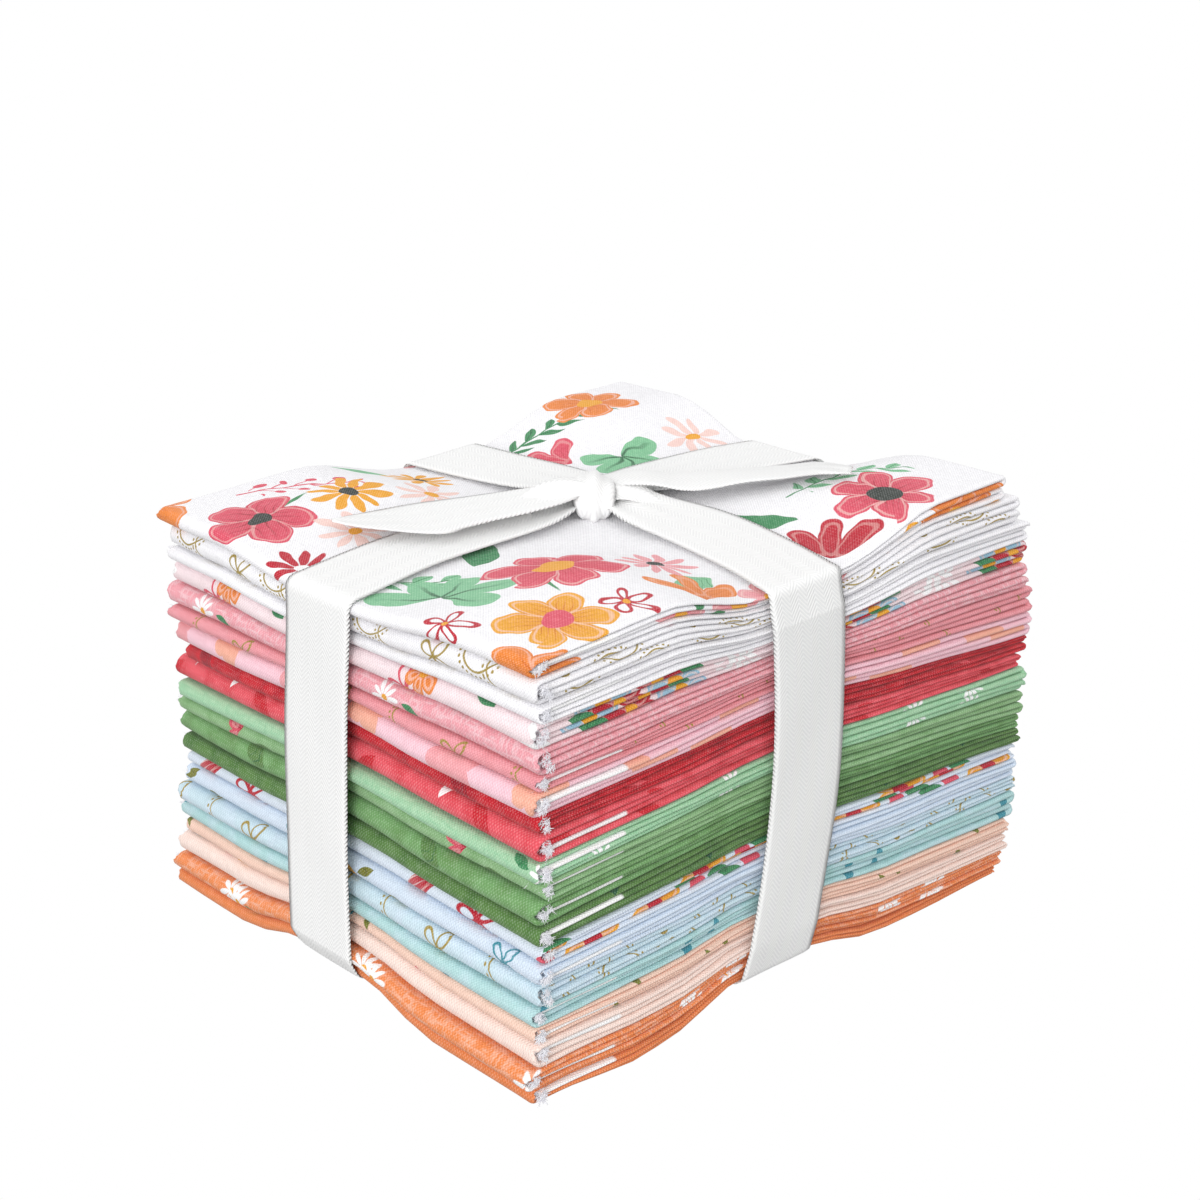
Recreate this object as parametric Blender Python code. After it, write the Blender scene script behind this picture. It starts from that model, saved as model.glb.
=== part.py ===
"""Fat quarter bundle: twenty-one cut cloths, each folded to a flat parcel and
stacked, tied both ways with a twill tape that ends in a knot and two tails."""

import math

import bpy
import numpy as np

MM = 0.001

# Sizes of the stack, in millimetres
HALF_LENGTH = 71.0
HALF_DEPTH = 57.0
TOP_HEIGHT = 90.5
TOP_RISE_X = 2.7
TOP_RISE_Y = -1.6
TOP_TWIST = -0.7
PIECE_GAP = 0.34
CENTRED_BY = (0.165, 0.05, 0.0)

# What the tape does to the stack
VALLEY_FLAT = 10.0
VALLEY_SIDE = 28.0
VALLEY_ACROSS = 6.0
VALLEY_ALONG = (4.3, 6.5, 7.5)
VALLEY_MOST = 7.0
PRESSED_FROM = 15
LIFT_FLAT = 9.0
LIFT_SIDE = 22.0
LIFT_ACROSS = 4.2
LIFT_ALONG = 4.0
LIFT_MOST = 4.4
LIFTED_TO = 5
PULL_IN = 0.8
BAND_AT = 11.5
BANK_AT = 30.0

# The tape
TAPE_HALF = 10.2
TAPE_THICK = 1.0
TAPE_GAP = 0.38
TAPE_STEP = 18.0

# One row for each cloth, top to bottom, in millimetres: its height at the
# folded left side and at the right side, then where its four edges lie
NAMES = ("node", "left_high", "right_high", "left", "right", "front", "back", "color")
PIECES = (
    ("quarter_01_large_floral", 3.6, 5.7, -71.6, 59.1, -57.0, 57.2, (0.90, 0.89, 0.88)),
    ("quarter_02_gold_line", 4.9, 6.2, -70.9, 64.3, -57.7, 55.0, (0.90, 0.89, 0.85)),
    ("quarter_03_white", 3.2, 4.5, -70.8, 66.5, -58.1, 55.3, (0.91, 0.91, 0.91)),
    ("quarter_04_pink_floral", 5.0, 5.3, -70.8, 67.9, -57.6, 54.9, (0.92, 0.72, 0.73)),
    ("quarter_05_coral_daisy", 4.9, 5.8, -70.7, 68.3, -58.0, 56.4, (0.86, 0.36, 0.38)),
    ("quarter_06_pink_gold", 3.2, 6.0, -70.7, 70.6, -57.5, 56.1, (0.86, 0.30, 0.34)),
    ("quarter_07_light_pink", 5.0, 5.5, -71.0, 71.8, -57.8, 54.5, (0.90, 0.55, 0.62)),
    ("quarter_08_deep_red", 2.6, 3.7, -67.1, 71.4, -56.9, 52.5, (0.56, 0.01, 0.02)),
    ("quarter_09_coral_red", 6.2, 3.0, -69.6, 69.4, -57.4, 57.2, (0.80, 0.09, 0.11)),
    ("quarter_10_mint_daisy", 3.8, 5.8, -70.4, 71.1, -58.0, 55.2, (0.30, 0.61, 0.37)),
    ("quarter_11_sage_floral", 3.5, 5.4, -69.0, 70.5, -57.7, 56.3, (0.22, 0.44, 0.22)),
    ("quarter_12_green_leaf", 5.1, 3.5, -69.7, 71.1, -57.3, 56.7, (0.15, 0.38, 0.15)),
    ("quarter_13_olive", 4.0, 3.3, -69.8, 70.9, -57.9, 55.5, (0.11, 0.26, 0.09)),
    ("quarter_14_blue_floral", 3.6, 3.6, -68.6, 69.6, -57.6, 55.4, (0.71, 0.80, 0.91)),
    ("quarter_15_blue_leaf", 4.2, 4.7, -69.5, 70.6, -58.0, 55.8, (0.66, 0.79, 0.91)),
    ("quarter_16_aqua_gold", 4.5, 3.6, -70.4, 70.4, -57.7, 56.6, (0.55, 0.76, 0.81)),
    ("quarter_17_aqua", 3.7, 6.4, -70.5, 71.9, -57.5, 57.0, (0.39, 0.69, 0.66)),
    ("quarter_18_peach_sprig", 3.2, 3.7, -70.3, 70.0, -57.9, 55.3, (0.94, 0.58, 0.44)),
    ("quarter_19_pale_peach", 5.2, 3.3, -70.7, 69.4, -58.1, 56.8, (0.96, 0.76, 0.68)),
    ("quarter_20_orange_daisy", 4.4, 3.5, -72.1, 68.8, -57.8, 58.0, (0.87, 0.22, 0.05)),
    ("quarter_21_orange", 3.6, 2.4, -70.9, 66.6, -57.4, 57.9, (0.87, 0.26, 0.08)),
)
TAPE_COLOR = (0.92, 0.92, 0.92)

# Centre lines of the valleys that the tape makes, in millimetres: for the run
# front to back (at, x on top, x beneath), for the run left to right (at, y on
# top, y beneath)
RUN_BACK = (
    (-57.0, -2.6, -5.6),
    (-46.0, 1.2, -5.2),
    (-33.0, 4.2, -4.6),
    (-15.5, 6.5, -3.8),
    (0.0, 5.5, -3.0),
    (27.0, 5.6, -1.5),
    (37.0, 4.4, -0.8),
    (57.0, 1.9, 0.5),
)
RUN_SIDE = (
    (-71.0, 3.2, 4.4),
    (-60.0, 5.6, 4.4),
    (-46.0, 8.6, 4.3),
    (-34.0, 9.8, 4.2),
    (0.0, 9.0, 4.0),
    (30.0, 9.0, 3.2),
    (45.0, 7.6, 2.8),
    (60.0, 3.5, 2.4),
    (71.0, 0.3, 2.0),
)

# Centre line of the tape on the two faces it crosses each way: height above
# the floor against x or y
TAPE_FRONT = ((3.0, -5.6), (40.0, -0.4), (74.0, -1.4), (84.0, -2.6))
TAPE_REAR = ((3.0, 0.5), (84.0, 1.9))
TAPE_LEFT = ((3.0, 4.4), (45.0, 5.0), (82.0, 3.2))
TAPE_RIGHT = ((3.0, 2.0), (84.0, 0.3))

# The knot: middle, three half sizes and the turn about Z
KNOT_AT = (3.2, 8.0, 88.2)
KNOT_HALF = (12.0, 6.5, 4.2)
KNOT_TURN = -43.0

# The tails, from the knot out: near edge and far edge of the tape
TAIL_LEFT = (
    ((1.0, 4.0, 89.2), (-1.0, 12.5, 88.4)),
    ((-8.0, 1.8, 88.6), (-10.0, 15.2, 88.2)),
    ((-17.0, 2.6, 88.0), (-18.0, 18.8, 87.7)),
    ((-26.4, 4.6, 87.5), (-25.6, 22.2, 87.3)),
    ((-33.0, 5.6, 87.2), (-31.5, 24.6, 87.1)),
    ((-39.1, 6.4, 87.0), (-38.0, 26.0, 87.0)),
    ((-47.4, 17.6, 87.0), (-46.5, 27.2, 87.0)),
    ((-50.6, 26.0, 87.0), (-50.0, 27.6, 87.0)),
)
TAIL_RIGHT = (
    ((2.0, 5.0, 88.6), (5.0, 11.5, 88.2)),
    ((10.5, -1.5, 88.8), (16.0, 8.0, 88.6)),
    ((16.0, -6.4, 87.7), (22.5, 3.8, 87.8)),
    ((20.0, -10.0, 88.0), (29.5, -0.2, 87.7)),
    ((26.0, -14.6, 89.4), (36.6, -3.3, 87.6)),
    ((30.0, -21.2, 91.0), (43.6, -8.8, 88.2)),
    ((32.3, -29.0, 93.4), (44.4, -18.8, 91.2)),
    ((34.6, -36.0, 94.8), (39.8, -32.0, 94.3)),
)


def eased(t):
    """Zero to one with level ends."""
    t = min(1.0, max(0.0, t))
    return t * t * (3.0 - 2.0 * t)


def along(table, at, column=1):
    """The value of a table's column at a place between its rows."""
    return float(np.interp(at, [row[0] for row in table], [row[column] for row in table]))


def cumulative(heights):
    """Share of the whole height below each boundary, from the floor up."""
    sums = np.concatenate([[0.0], np.cumsum(heights[::-1])])
    return sums / sums[-1]


ROWS = [dict(zip(NAMES, piece)) for piece in PIECES]
LEVELS = len(ROWS)
SHARE_LEFT = cumulative([row["left_high"] for row in ROWS])
SHARE_MIDDLE = np.linspace(0.0, 1.0, LEVELS + 1)
SHARE_RIGHT = cumulative([row["right_high"] for row in ROWS])


def share(u, level):
    """Share of the stack's height below this level, at this place along it."""
    middle = float(np.interp(level, range(LEVELS + 1), SHARE_MIDDLE))
    end = SHARE_LEFT if u < 0 else SHARE_RIGHT
    side = float(np.interp(level, range(LEVELS + 1), end))
    return middle + (side - middle) * min(1.0, abs(u) / HALF_LENGTH)


def both(a, b, most):
    """Two crossing valleys that don't add up beyond the deeper one."""
    return most * (1.0 - (1.0 - a / most) * (1.0 - b / most))


def valley(u, v):
    """How far the two runs of tape press the top down."""
    across = VALLEY_ACROSS * eased(1.0 - (abs(u) - VALLEY_FLAT) / VALLEY_SIDE)
    deep = float(np.interp(u, (-HALF_LENGTH, 0.0, HALF_LENGTH), VALLEY_ALONG))
    side = deep * eased(1.0 - (abs(v) - VALLEY_FLAT) / VALLEY_SIDE)
    return both(min(across, 6.9), min(side, 6.9), VALLEY_MOST) + max(0.0, deep - 6.9) * side / deep


def lift(u, v):
    """How far the two runs of tape raise the bottom from the floor."""
    across = LIFT_ACROSS * eased(1.0 - (abs(u) - LIFT_FLAT) / LIFT_SIDE)
    side = LIFT_ALONG * eased(1.0 - (abs(v) - LIFT_FLAT) / LIFT_SIDE)
    return both(across, side, LIFT_MOST)


def place(u, v, level):
    """Where a point of the even stack lies in the tied bundle."""
    high = level / LEVELS
    shift_x = along(RUN_BACK, v, 2) * (1.0 - high) + along(RUN_BACK, v, 1) * high
    shift_y = along(RUN_SIDE, u, 2) * (1.0 - high) + along(RUN_SIDE, u, 1) * high
    x = u + shift_x * max(0.0, 1.0 - abs(u) / HALF_LENGTH)
    y = v + shift_y * max(0.0, 1.0 - abs(v) / HALF_DEPTH)
    a = u / HALF_LENGTH
    b = v / HALF_DEPTH
    top = TOP_HEIGHT + TOP_RISE_X * a + TOP_RISE_Y * b + TOP_TWIST * a * b
    pressed = max(0.0, (level - PRESSED_FROM) / (LEVELS - PRESSED_FROM)) ** 1.2
    lifted = max(0.0, 1.0 - level / LIFTED_TO) ** 1.2
    z = share(u, level) * top - valley(u, v) * pressed + lift(u, v) * lifted
    return np.array((x, y, z))


def fold_section(left, right, height_left, height_right, stations):
    """Outline of one folded cloth seen from the front, as (u, share of its
    height): two thick runs joined at the left fold, each turned back on itself
    at the right, its raw end lying inside near the left fold."""
    lower_out = (0.0, 0.205)
    lower_in = (0.265, 0.47)
    r = height_left / 2.0
    outline = []

    def run(u_from, u_to, t):
        inside = [s for s in stations if min(u_from, u_to) < s < max(u_from, u_to)]
        inside = sorted(inside, reverse=u_to < u_from)
        outline.extend((u, t) for u in [u_from] + inside + [u_to])

    def arc(middle, t_mid, half_u, half_t, start, end, steps):
        for step in range(1, steps):
            angle = math.radians(start + (end - start) * step / steps)
            point = (middle + half_u * math.cos(angle), t_mid + half_t * math.sin(angle))
            outline.append(point)

    turn = height_right * 0.235
    fold_at = left + r
    turn_at = right - turn
    raw_at = fold_at + 1.6
    run(fold_at, turn_at, lower_out[0])
    arc(turn_at, 0.235, turn, 0.235, -90, 90, 3)
    run(turn_at, raw_at, lower_in[1])
    run(raw_at, turn_at, lower_in[0])
    run(turn_at, fold_at, lower_out[1])
    arc(fold_at, 0.5, r * 0.59, 0.295, 270, 90, 2)
    run(fold_at, turn_at, 1.0 - lower_out[1])
    run(turn_at, raw_at + 0.8, 1.0 - lower_in[0])
    run(raw_at + 0.8, turn_at, 1.0 - lower_in[1])
    arc(turn_at, 0.765, turn, 0.235, -90, 90, 3)
    run(turn_at, fold_at, 1.0)
    arc(fold_at, 0.5, r, 0.5, 90, 270, 5)
    return outline


def near_band(at):
    """One beside the tape, falling to zero where the bank is full."""
    return min(1.0, max(0.0, (BANK_AT - abs(at)) / (BANK_AT - BAND_AT)))


def fold_points(index):
    """Grid of points of one folded cloth: rows from front to back, each the
    outline of its section, as (u, v, x, y, z)."""
    row = ROWS[index]
    low = LEVELS - 1 - index
    fine = low < LIFTED_TO or low >= PRESSED_FROM
    stations = (-BANK_AT, -BAND_AT, BAND_AT, BANK_AT) if fine else (-BAND_AT, BAND_AT)
    inner = (-BANK_AT - 2.0, -BAND_AT, BAND_AT, BANK_AT + 2.0) if fine else (-BAND_AT, BAND_AT)
    skew = 0.5 * math.sin(2.4 * index)
    grid = []
    for v in (row["front"],) + inner + (row["back"],):
        pull = PULL_IN * near_band(v)
        left = row["left"] + pull + skew * v / HALF_DEPTH
        right = row["right"] - pull + skew * v / HALF_DEPTH
        outline = fold_section(left, right, row["left_high"], row["right_high"], stations)
        points = []
        for u, t in outline:
            w = v
            if v in (row["front"], row["back"]):
                w = v - math.copysign(PULL_IN * near_band(u), v)
            under = place(u, w, low)
            over = place(u, w, low + 1)
            under[2] += PIECE_GAP / 2 if low else 0.0
            over[2] -= PIECE_GAP / 2
            points.append((u, w, *(under + (over - under) * t)))
        grid.append(points)
    return np.array(grid)


def new_object(name, points, faces, color):
    """A mesh object in metres from points in millimetres, with its material."""
    mesh = bpy.data.meshes.new(name)
    metres = (np.array(points, float) + CENTRED_BY) * MM
    mesh.from_pydata(metres.tolist(), [], faces)
    mesh.validate()
    mesh.update()
    item = bpy.data.objects.new(name, mesh)
    bpy.context.scene.collection.objects.link(item)
    if color:
        material = bpy.data.materials.new(name)
        material.use_nodes = True
        shader = material.node_tree.nodes["Principled BSDF"]
        shader.inputs["Base Color"].default_value = (*color, 1.0)
        shader.inputs["Roughness"].default_value = 0.9
        mesh.materials.append(material)
    return item


def make_fold(index, grid):
    """One folded cloth as a closed body; every quad is split the same way in
    plan so that neighbouring cloths can't cross."""
    rows, count = grid.shape[:2]
    faces = []
    for j in range(rows - 1):
        for k in range(count):
            n = (k + 1) % count
            a, b = j * count + k, j * count + n
            c, d = a + count, b + count
            if grid[j, n, 0] >= grid[j, k, 0]:
                faces += [(a, c, d), (a, d, b)]
            else:
                faces += [(a, c, b), (b, c, d)]
    faces.append(tuple(range(count)))
    faces.append(tuple(reversed(range((rows - 1) * count, rows * count))))
    row = ROWS[index]
    item = new_object(row["node"], grid.reshape(-1, 5)[:, 2:], faces, row["color"])
    item.data.shade_smooth()
    item.data.set_sharp_from_angle(angle=math.radians(40))
    return item


def hull(points):
    """Convex outline, anticlockwise, without its shortest sides."""
    points = sorted(map(tuple, points))
    chains = []
    for ordered in (points, points[::-1]):
        chain = []
        for p in ordered:
            while len(chain) > 1 and cross(chain[-2], chain[-1], p) <= 1e-9:
                chain.pop()
            chain.append(p)
        chains.append(chain[:-1])
    outline = chains[0] + chains[1]
    kept = []
    for p in outline:
        if not kept or math.dist(p, kept[-1]) > 0.35:
            kept.append(p)
    return np.array(kept)


def cross(a, b, c):
    return (b[0] - a[0]) * (c[1] - a[1]) - (b[1] - a[1]) * (c[0] - a[0])


def divided(outline):
    """The outline with its long sides cut into steps."""
    points = []
    for a, b in zip(outline, np.roll(outline, -1, axis=0)):
        steps = max(1, math.ceil(math.dist(a, b) / TAPE_STEP))
        points += [a + (b - a) * step / steps for step in range(steps)]
    return np.array(points)


def grown(outline, by):
    """The outline moved out by a distance, corner by corner."""
    ahead = np.roll(outline, -1, axis=0) - outline
    normals = np.stack([ahead[:, 1], -ahead[:, 0]], axis=1)
    normals /= np.linalg.norm(normals, axis=1)[:, None]
    before = np.roll(normals, 1, axis=0)
    dots = (normals * before).sum(axis=1)
    return outline + by * (normals + before) / (1.0 + dots)[:, None]


def lateral(s, z, reach, top, bottom, start, end):
    """Centre line of a loop of tape at a place of its section."""
    if z > 78.0 and abs(s) < reach:
        return along(top, s, 1)
    if z < 8.0 and abs(s) < reach:
        return along(bottom, s, 2)
    return along(start if s < 0 else end, z)


def make_loop(name, outline, from_cloth, centre, axis, tilt):
    """A closed loop of tape round the stack; axis 1 runs front to back, axis 0
    left to right. Tilt follows the stack's slope under the tape's width."""
    outline = divided(grown(outline, from_cloth))
    outer = grown(outline, TAPE_THICK)
    points = []
    for (s, z), (s_out, z_out) in zip(outline, outer):
        middle = centre(s, z)
        narrow = 1.0 - 0.22 * eased(1.0 - abs(s - (8.0 if axis else 3.0)) / 16.0) * (z > 78.0)
        for a, b, side in ((s, z, -1), (s, z, 1), (s_out, z_out, 1), (s_out, z_out, -1)):
            at = middle + side * TAPE_HALF * narrow
            high = b * (1.0 + tilt * at)
            points.append((at, a, high) if axis else (a, at, high))
    count = len(outline)
    faces = []
    for i in range(count):
        n = (i + 1) % count
        for k in range(4):
            m = (k + 1) % 4
            quad = (4 * i + k, 4 * n + k, 4 * n + m, 4 * i + m)
            faces.append(quad if axis else quad[::-1])
    return new_object(name, points, faces, None)


def make_tail(name, edges):
    """A free end of tape between its two edges."""
    edges = np.array(edges)
    middle = edges.mean(axis=1)
    ahead = np.gradient(middle, axis=0)
    width = edges[:, 1] - edges[:, 0]
    normal = np.cross(ahead, width)
    normal *= np.sign(normal[:, 2:])
    normal /= np.linalg.norm(normal, axis=1)[:, None]
    half = normal * TAPE_THICK / 2
    points = []
    for (near, far), up in zip(edges, half):
        points += [near - up, far - up, far + up, near + up]
    faces = [(0, 1, 2, 3)]
    last = 4 * (len(edges) - 1)
    faces.append((last + 3, last + 2, last + 1, last))
    for i in range(len(edges) - 1):
        for k in range(4):
            m = (k + 1) % 4
            faces.append((4 * i + k, 4 * i + 4 + k, 4 * i + 4 + m, 4 * i + m))
    return new_object(name, points, faces, None)


def make_knot():
    """The lump of the knot, a little flattened, lying across the crossing."""
    turn = math.radians(KNOT_TURN)
    rings, around = 6, 12
    points = [(0.0, 0.0, -1.0)]
    for i in range(1, rings):
        tall = math.radians(-90 + 180 * i / rings)
        for k in range(around):
            angle = 2 * math.pi * k / around
            swell = 1.0 + 0.10 * math.cos(3 * angle + 0.6)
            reach = math.cos(tall) * swell
            points.append((reach * math.cos(angle), reach * math.sin(angle), math.sin(tall)))
    points.append((0.0, 0.0, 1.0))
    turned = []
    for x, y, z in points:
        x, y, z = x * KNOT_HALF[0], y * KNOT_HALF[1], z * KNOT_HALF[2]
        turned.append(
            (
                KNOT_AT[0] + x * math.cos(turn) - y * math.sin(turn),
                KNOT_AT[1] + x * math.sin(turn) + y * math.cos(turn),
                KNOT_AT[2] + z,
            )
        )
    faces = []
    top = len(points) - 1
    for k in range(around):
        n = (k + 1) % around
        faces.append((0, 1 + n, 1 + k))
        base = 1 + (rings - 2) * around
        faces.append((top, base + k, base + n))
        for i in range(rings - 2):
            a, b = 1 + i * around + k, 1 + i * around + n
            faces.append((a, b, b + around, a + around))
    return new_object("knot", turned, faces, None)


def facing_out(item):
    """Turns a closed body's faces outwards if its volume comes out negative."""
    mesh = item.data
    mesh.calc_loop_triangles()
    volume = 0.0
    for triangle in mesh.loop_triangles:
        a, b, c = (mesh.vertices[i].co for i in triangle.vertices)
        volume += a.dot(b.cross(c))
    if volume < 0:
        mesh.flip_normals()
    return item


def joined(parts, name, color):
    """One body from overlapping ones."""
    base = parts[0]
    for other in parts[1:]:
        step = base.modifiers.new("join", "BOOLEAN")
        step.operation = "UNION"
        step.solver = "EXACT"
        step.object = other
        depsgraph = bpy.context.evaluated_depsgraph_get()
        base.data = bpy.data.meshes.new_from_object(base.evaluated_get(depsgraph))
        base.modifiers.clear()
        bpy.data.objects.remove(other)
    base.name = name
    base.data.name = name
    material = bpy.data.materials.new(name)
    material.use_nodes = True
    shader = material.node_tree.nodes["Principled BSDF"]
    shader.inputs["Base Color"].default_value = (*color, 1.0)
    shader.inputs["Roughness"].default_value = 0.8
    base.data.materials.clear()
    base.data.materials.append(material)
    base.data.shade_smooth()
    base.data.set_sharp_from_angle(angle=math.radians(35))
    return base


def main():
    for item in list(bpy.data.objects):
        bpy.data.objects.remove(item)

    grids = [fold_points(index) for index in range(LEVELS)]
    for index, grid in enumerate(grids):
        make_fold(index, grid)
    cloth = np.concatenate([grid.reshape(-1, 5) for grid in grids])

    tilt_x = TOP_RISE_X / HALF_LENGTH / TOP_HEIGHT
    tilt_y = TOP_RISE_Y / HALF_DEPTH / TOP_HEIGHT
    band = cloth[np.abs(cloth[:, 0]) <= BAND_AT + 0.1]
    section_back = hull(np.stack([band[:, 3], band[:, 4] / (1 + tilt_x * band[:, 2])], axis=1))
    band = cloth[np.abs(cloth[:, 1]) <= BAND_AT + 0.1]
    section_side = hull(np.stack([band[:, 2], band[:, 4] / (1 + tilt_y * band[:, 3])], axis=1))

    def centre_back(s, z):
        return lateral(s, z, 55.0, RUN_BACK, RUN_BACK, TAPE_FRONT, TAPE_REAR)

    def centre_side(s, z):
        return lateral(s, z, 68.0, RUN_SIDE, RUN_SIDE, TAPE_LEFT, TAPE_RIGHT)

    loop_side = make_loop("loop_side", section_side, TAPE_GAP, centre_side, 0, tilt_y)
    loop_back = make_loop("loop_back", section_back, 2 * TAPE_GAP, centre_back, 1, tilt_x)
    tails = [make_tail("tail_left", TAIL_LEFT), make_tail("tail_right", TAIL_RIGHT)]
    parts = [facing_out(item) for item in [loop_side, loop_back, make_knot()] + tails]
    joined(parts, "ribbon", TAPE_COLOR)


main()
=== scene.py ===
"""A fat quarter bundle, dressed: every cloth is one folded sheet with its own
print, tied with a twill tape that has its knot and two tails."""

import math

import bpy
import numpy as np
from mathutils import Matrix, Vector


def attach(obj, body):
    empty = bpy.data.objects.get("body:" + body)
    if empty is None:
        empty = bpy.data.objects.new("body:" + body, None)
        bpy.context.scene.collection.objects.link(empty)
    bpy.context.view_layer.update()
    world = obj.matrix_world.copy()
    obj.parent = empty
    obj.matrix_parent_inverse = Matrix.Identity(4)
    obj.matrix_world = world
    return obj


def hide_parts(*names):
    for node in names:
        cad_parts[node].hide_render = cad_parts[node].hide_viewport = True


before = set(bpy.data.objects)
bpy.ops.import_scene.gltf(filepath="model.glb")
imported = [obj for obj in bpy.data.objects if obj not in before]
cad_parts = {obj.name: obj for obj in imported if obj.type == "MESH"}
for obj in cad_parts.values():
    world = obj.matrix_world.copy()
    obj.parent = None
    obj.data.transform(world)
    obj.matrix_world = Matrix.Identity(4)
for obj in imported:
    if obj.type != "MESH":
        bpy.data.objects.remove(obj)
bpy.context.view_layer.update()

MM = 0.001

# Camera at the photograph's place, in millimetres and degrees
CAMERA_AT = (-298.8, -313.8, 231.9)
CAMERA_YAW = 43.48
CAMERA_PITCH = 21.03
CAMERA_ROLL = 1.16
CAMERA_LENS = 66.27

# The stack as the solids have it, in millimetres
HALF_LENGTH = 71.0
HALF_DEPTH = 57.0
TOP_HEIGHT = 90.5
TOP_RISE_X = 2.7
TOP_RISE_Y = -1.6
TOP_TWIST = -0.7
PIECE_GAP = 0.12
CENTRED_BY = np.array((0.165, 0.05, 0.0))

# What the tape does to the stack: the valleys that it presses into the top
# cloths, how it lifts the lowest, and how far it pulls in the sides
VALLEY_FLAT = 10.0
VALLEY_SIDE = 28.0
VALLEY_ACROSS = 6.0
VALLEY_ALONG = (4.3, 6.5, 7.5)
VALLEY_MOST = 7.0
PRESSED_FROM = 15
LIFT_FLAT = 9.0
LIFT_SIDE = 22.0
LIFT_ACROSS = 4.2
LIFT_ALONG = 4.0
LIFT_MOST = 4.4
LIFTED_TO = 5
PULL_IN = 0.8
BAND_AT = 11.5
BANK_AT = 30.0

# A fat quarter: its cut size, the share of its height that one layer takes,
# and how wide its selvedge is
CUT_LENGTH = 558.8
CUT_WIDTH = 457.2
LAYER = 0.06
SELVEDGE = 21.0

# How far the flat cut's corner lies from the middle of the top face, and from
# the big fold, in millimetres, so that a print can be laid from either
TOP_ORIGIN = (208.4, 171.3)
FOLD_ORIGIN = (279.4, 171.3)

# How much further the front ridges stick out than half a circle would, the
# mean height of a cloth, and how far from an edge the cloth's waves fade
RIDGE_DEEP = 2.1
MEAN_HIGH = 4.3
EDGE_FADE = 9.0

# Loose threads: half their thickness, and for the front and back end of a cut
# edge its side and how many threads it has where it shows a selvedge
THREAD_HALF = 0.13
THREADS = ((-1.0, 190), (1.0, 60))

# The tape, in millimetres: half its width, its thickness, how far it stays
# off the cloths, the step along it, the heights above and below which it
# lies on top or beneath, and the width of a row of its ribs and their pitch
TAPE_HALF = 10.1
TAPE_THICK = 0.42
TAPE_CLEAR = 0.45
TAPE_STEP = 0.8
TAPE_TOP_FROM = 78.0
TAPE_UNDER_TO = 8.0
ROW_WIDE = 2.3
RIB_PITCH = 0.95

# Near the knot a loop clears the other, and is gathered to about half its width
KNOT_CLEAR = 15.0
KNOT_GATHER = 13.0
GATHERED_BY = 0.48

# How much the top leans, for each millimetre across and of height
TILT_X = TOP_RISE_X / HALF_LENGTH / TOP_HEIGHT
TILT_Y = TOP_RISE_Y / HALF_DEPTH / TOP_HEIGHT

# One row for each cloth, top to bottom, in millimetres: its height at the
# folded left side and at the right side, where its four edges lie, and which
# of its two inner ends is the selvedge
NAMES = ("node", "left_high", "right_high", "left", "right", "front", "back", "selvedge")
PIECES = (
    ("quarter_01_large_floral", 3.6, 5.7, -71.6, 59.1, -57.0, 57.2, "upper"),
    ("quarter_02_gold_line", 4.9, 6.2, -70.9, 64.3, -57.7, 55.0, ""),
    ("quarter_03_white", 3.2, 4.5, -70.8, 66.5, -58.1, 55.3, "upper"),
    ("quarter_04_pink_floral", 5.0, 5.3, -70.8, 67.9, -57.6, 54.9, ""),
    ("quarter_05_coral_daisy", 4.9, 5.8, -70.7, 68.3, -58.0, 56.4, ""),
    ("quarter_06_pink_gold", 3.2, 6.0, -70.7, 70.6, -57.5, 56.1, "lower"),
    ("quarter_07_light_pink", 5.0, 5.5, -71.0, 71.8, -57.8, 54.5, "upper"),
    ("quarter_08_deep_red", 3.6, 3.7, -69.5, 71.4, -56.9, 52.5, ""),
    ("quarter_09_coral_red", 5.2, 3.0, -69.7, 69.4, -57.4, 57.2, "lower"),
    ("quarter_10_mint_daisy", 3.8, 5.8, -70.4, 71.1, -58.0, 55.2, "upper"),
    ("quarter_11_sage_floral", 3.5, 5.4, -69.0, 70.5, -57.7, 56.3, "upper"),
    ("quarter_12_green_leaf", 5.1, 3.5, -69.7, 71.1, -57.3, 56.7, "lower"),
    ("quarter_13_olive", 4.0, 3.3, -69.8, 70.9, -57.9, 55.5, "upper"),
    ("quarter_14_blue_floral", 3.6, 3.6, -68.6, 69.6, -57.6, 55.4, ""),
    ("quarter_15_blue_leaf", 4.2, 4.7, -69.5, 70.6, -58.0, 55.8, "lower"),
    ("quarter_16_aqua_gold", 4.5, 3.6, -70.4, 70.4, -57.7, 56.6, ""),
    ("quarter_17_aqua", 3.7, 6.4, -70.5, 71.9, -57.5, 57.0, "upper"),
    ("quarter_18_peach_sprig", 3.2, 3.7, -70.3, 70.0, -57.9, 55.3, "lower"),
    ("quarter_19_pale_peach", 5.2, 3.3, -70.7, 69.4, -58.1, 56.8, "upper"),
    ("quarter_20_orange_daisy", 4.4, 3.5, -72.1, 68.8, -57.8, 58.0, "lower"),
    ("quarter_21_orange", 3.6, 2.4, -70.9, 66.6, -57.4, 57.9, "upper"),
)
ROWS = [dict(zip(NAMES, piece)) for piece in PIECES]
LEVELS = len(ROWS)

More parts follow.
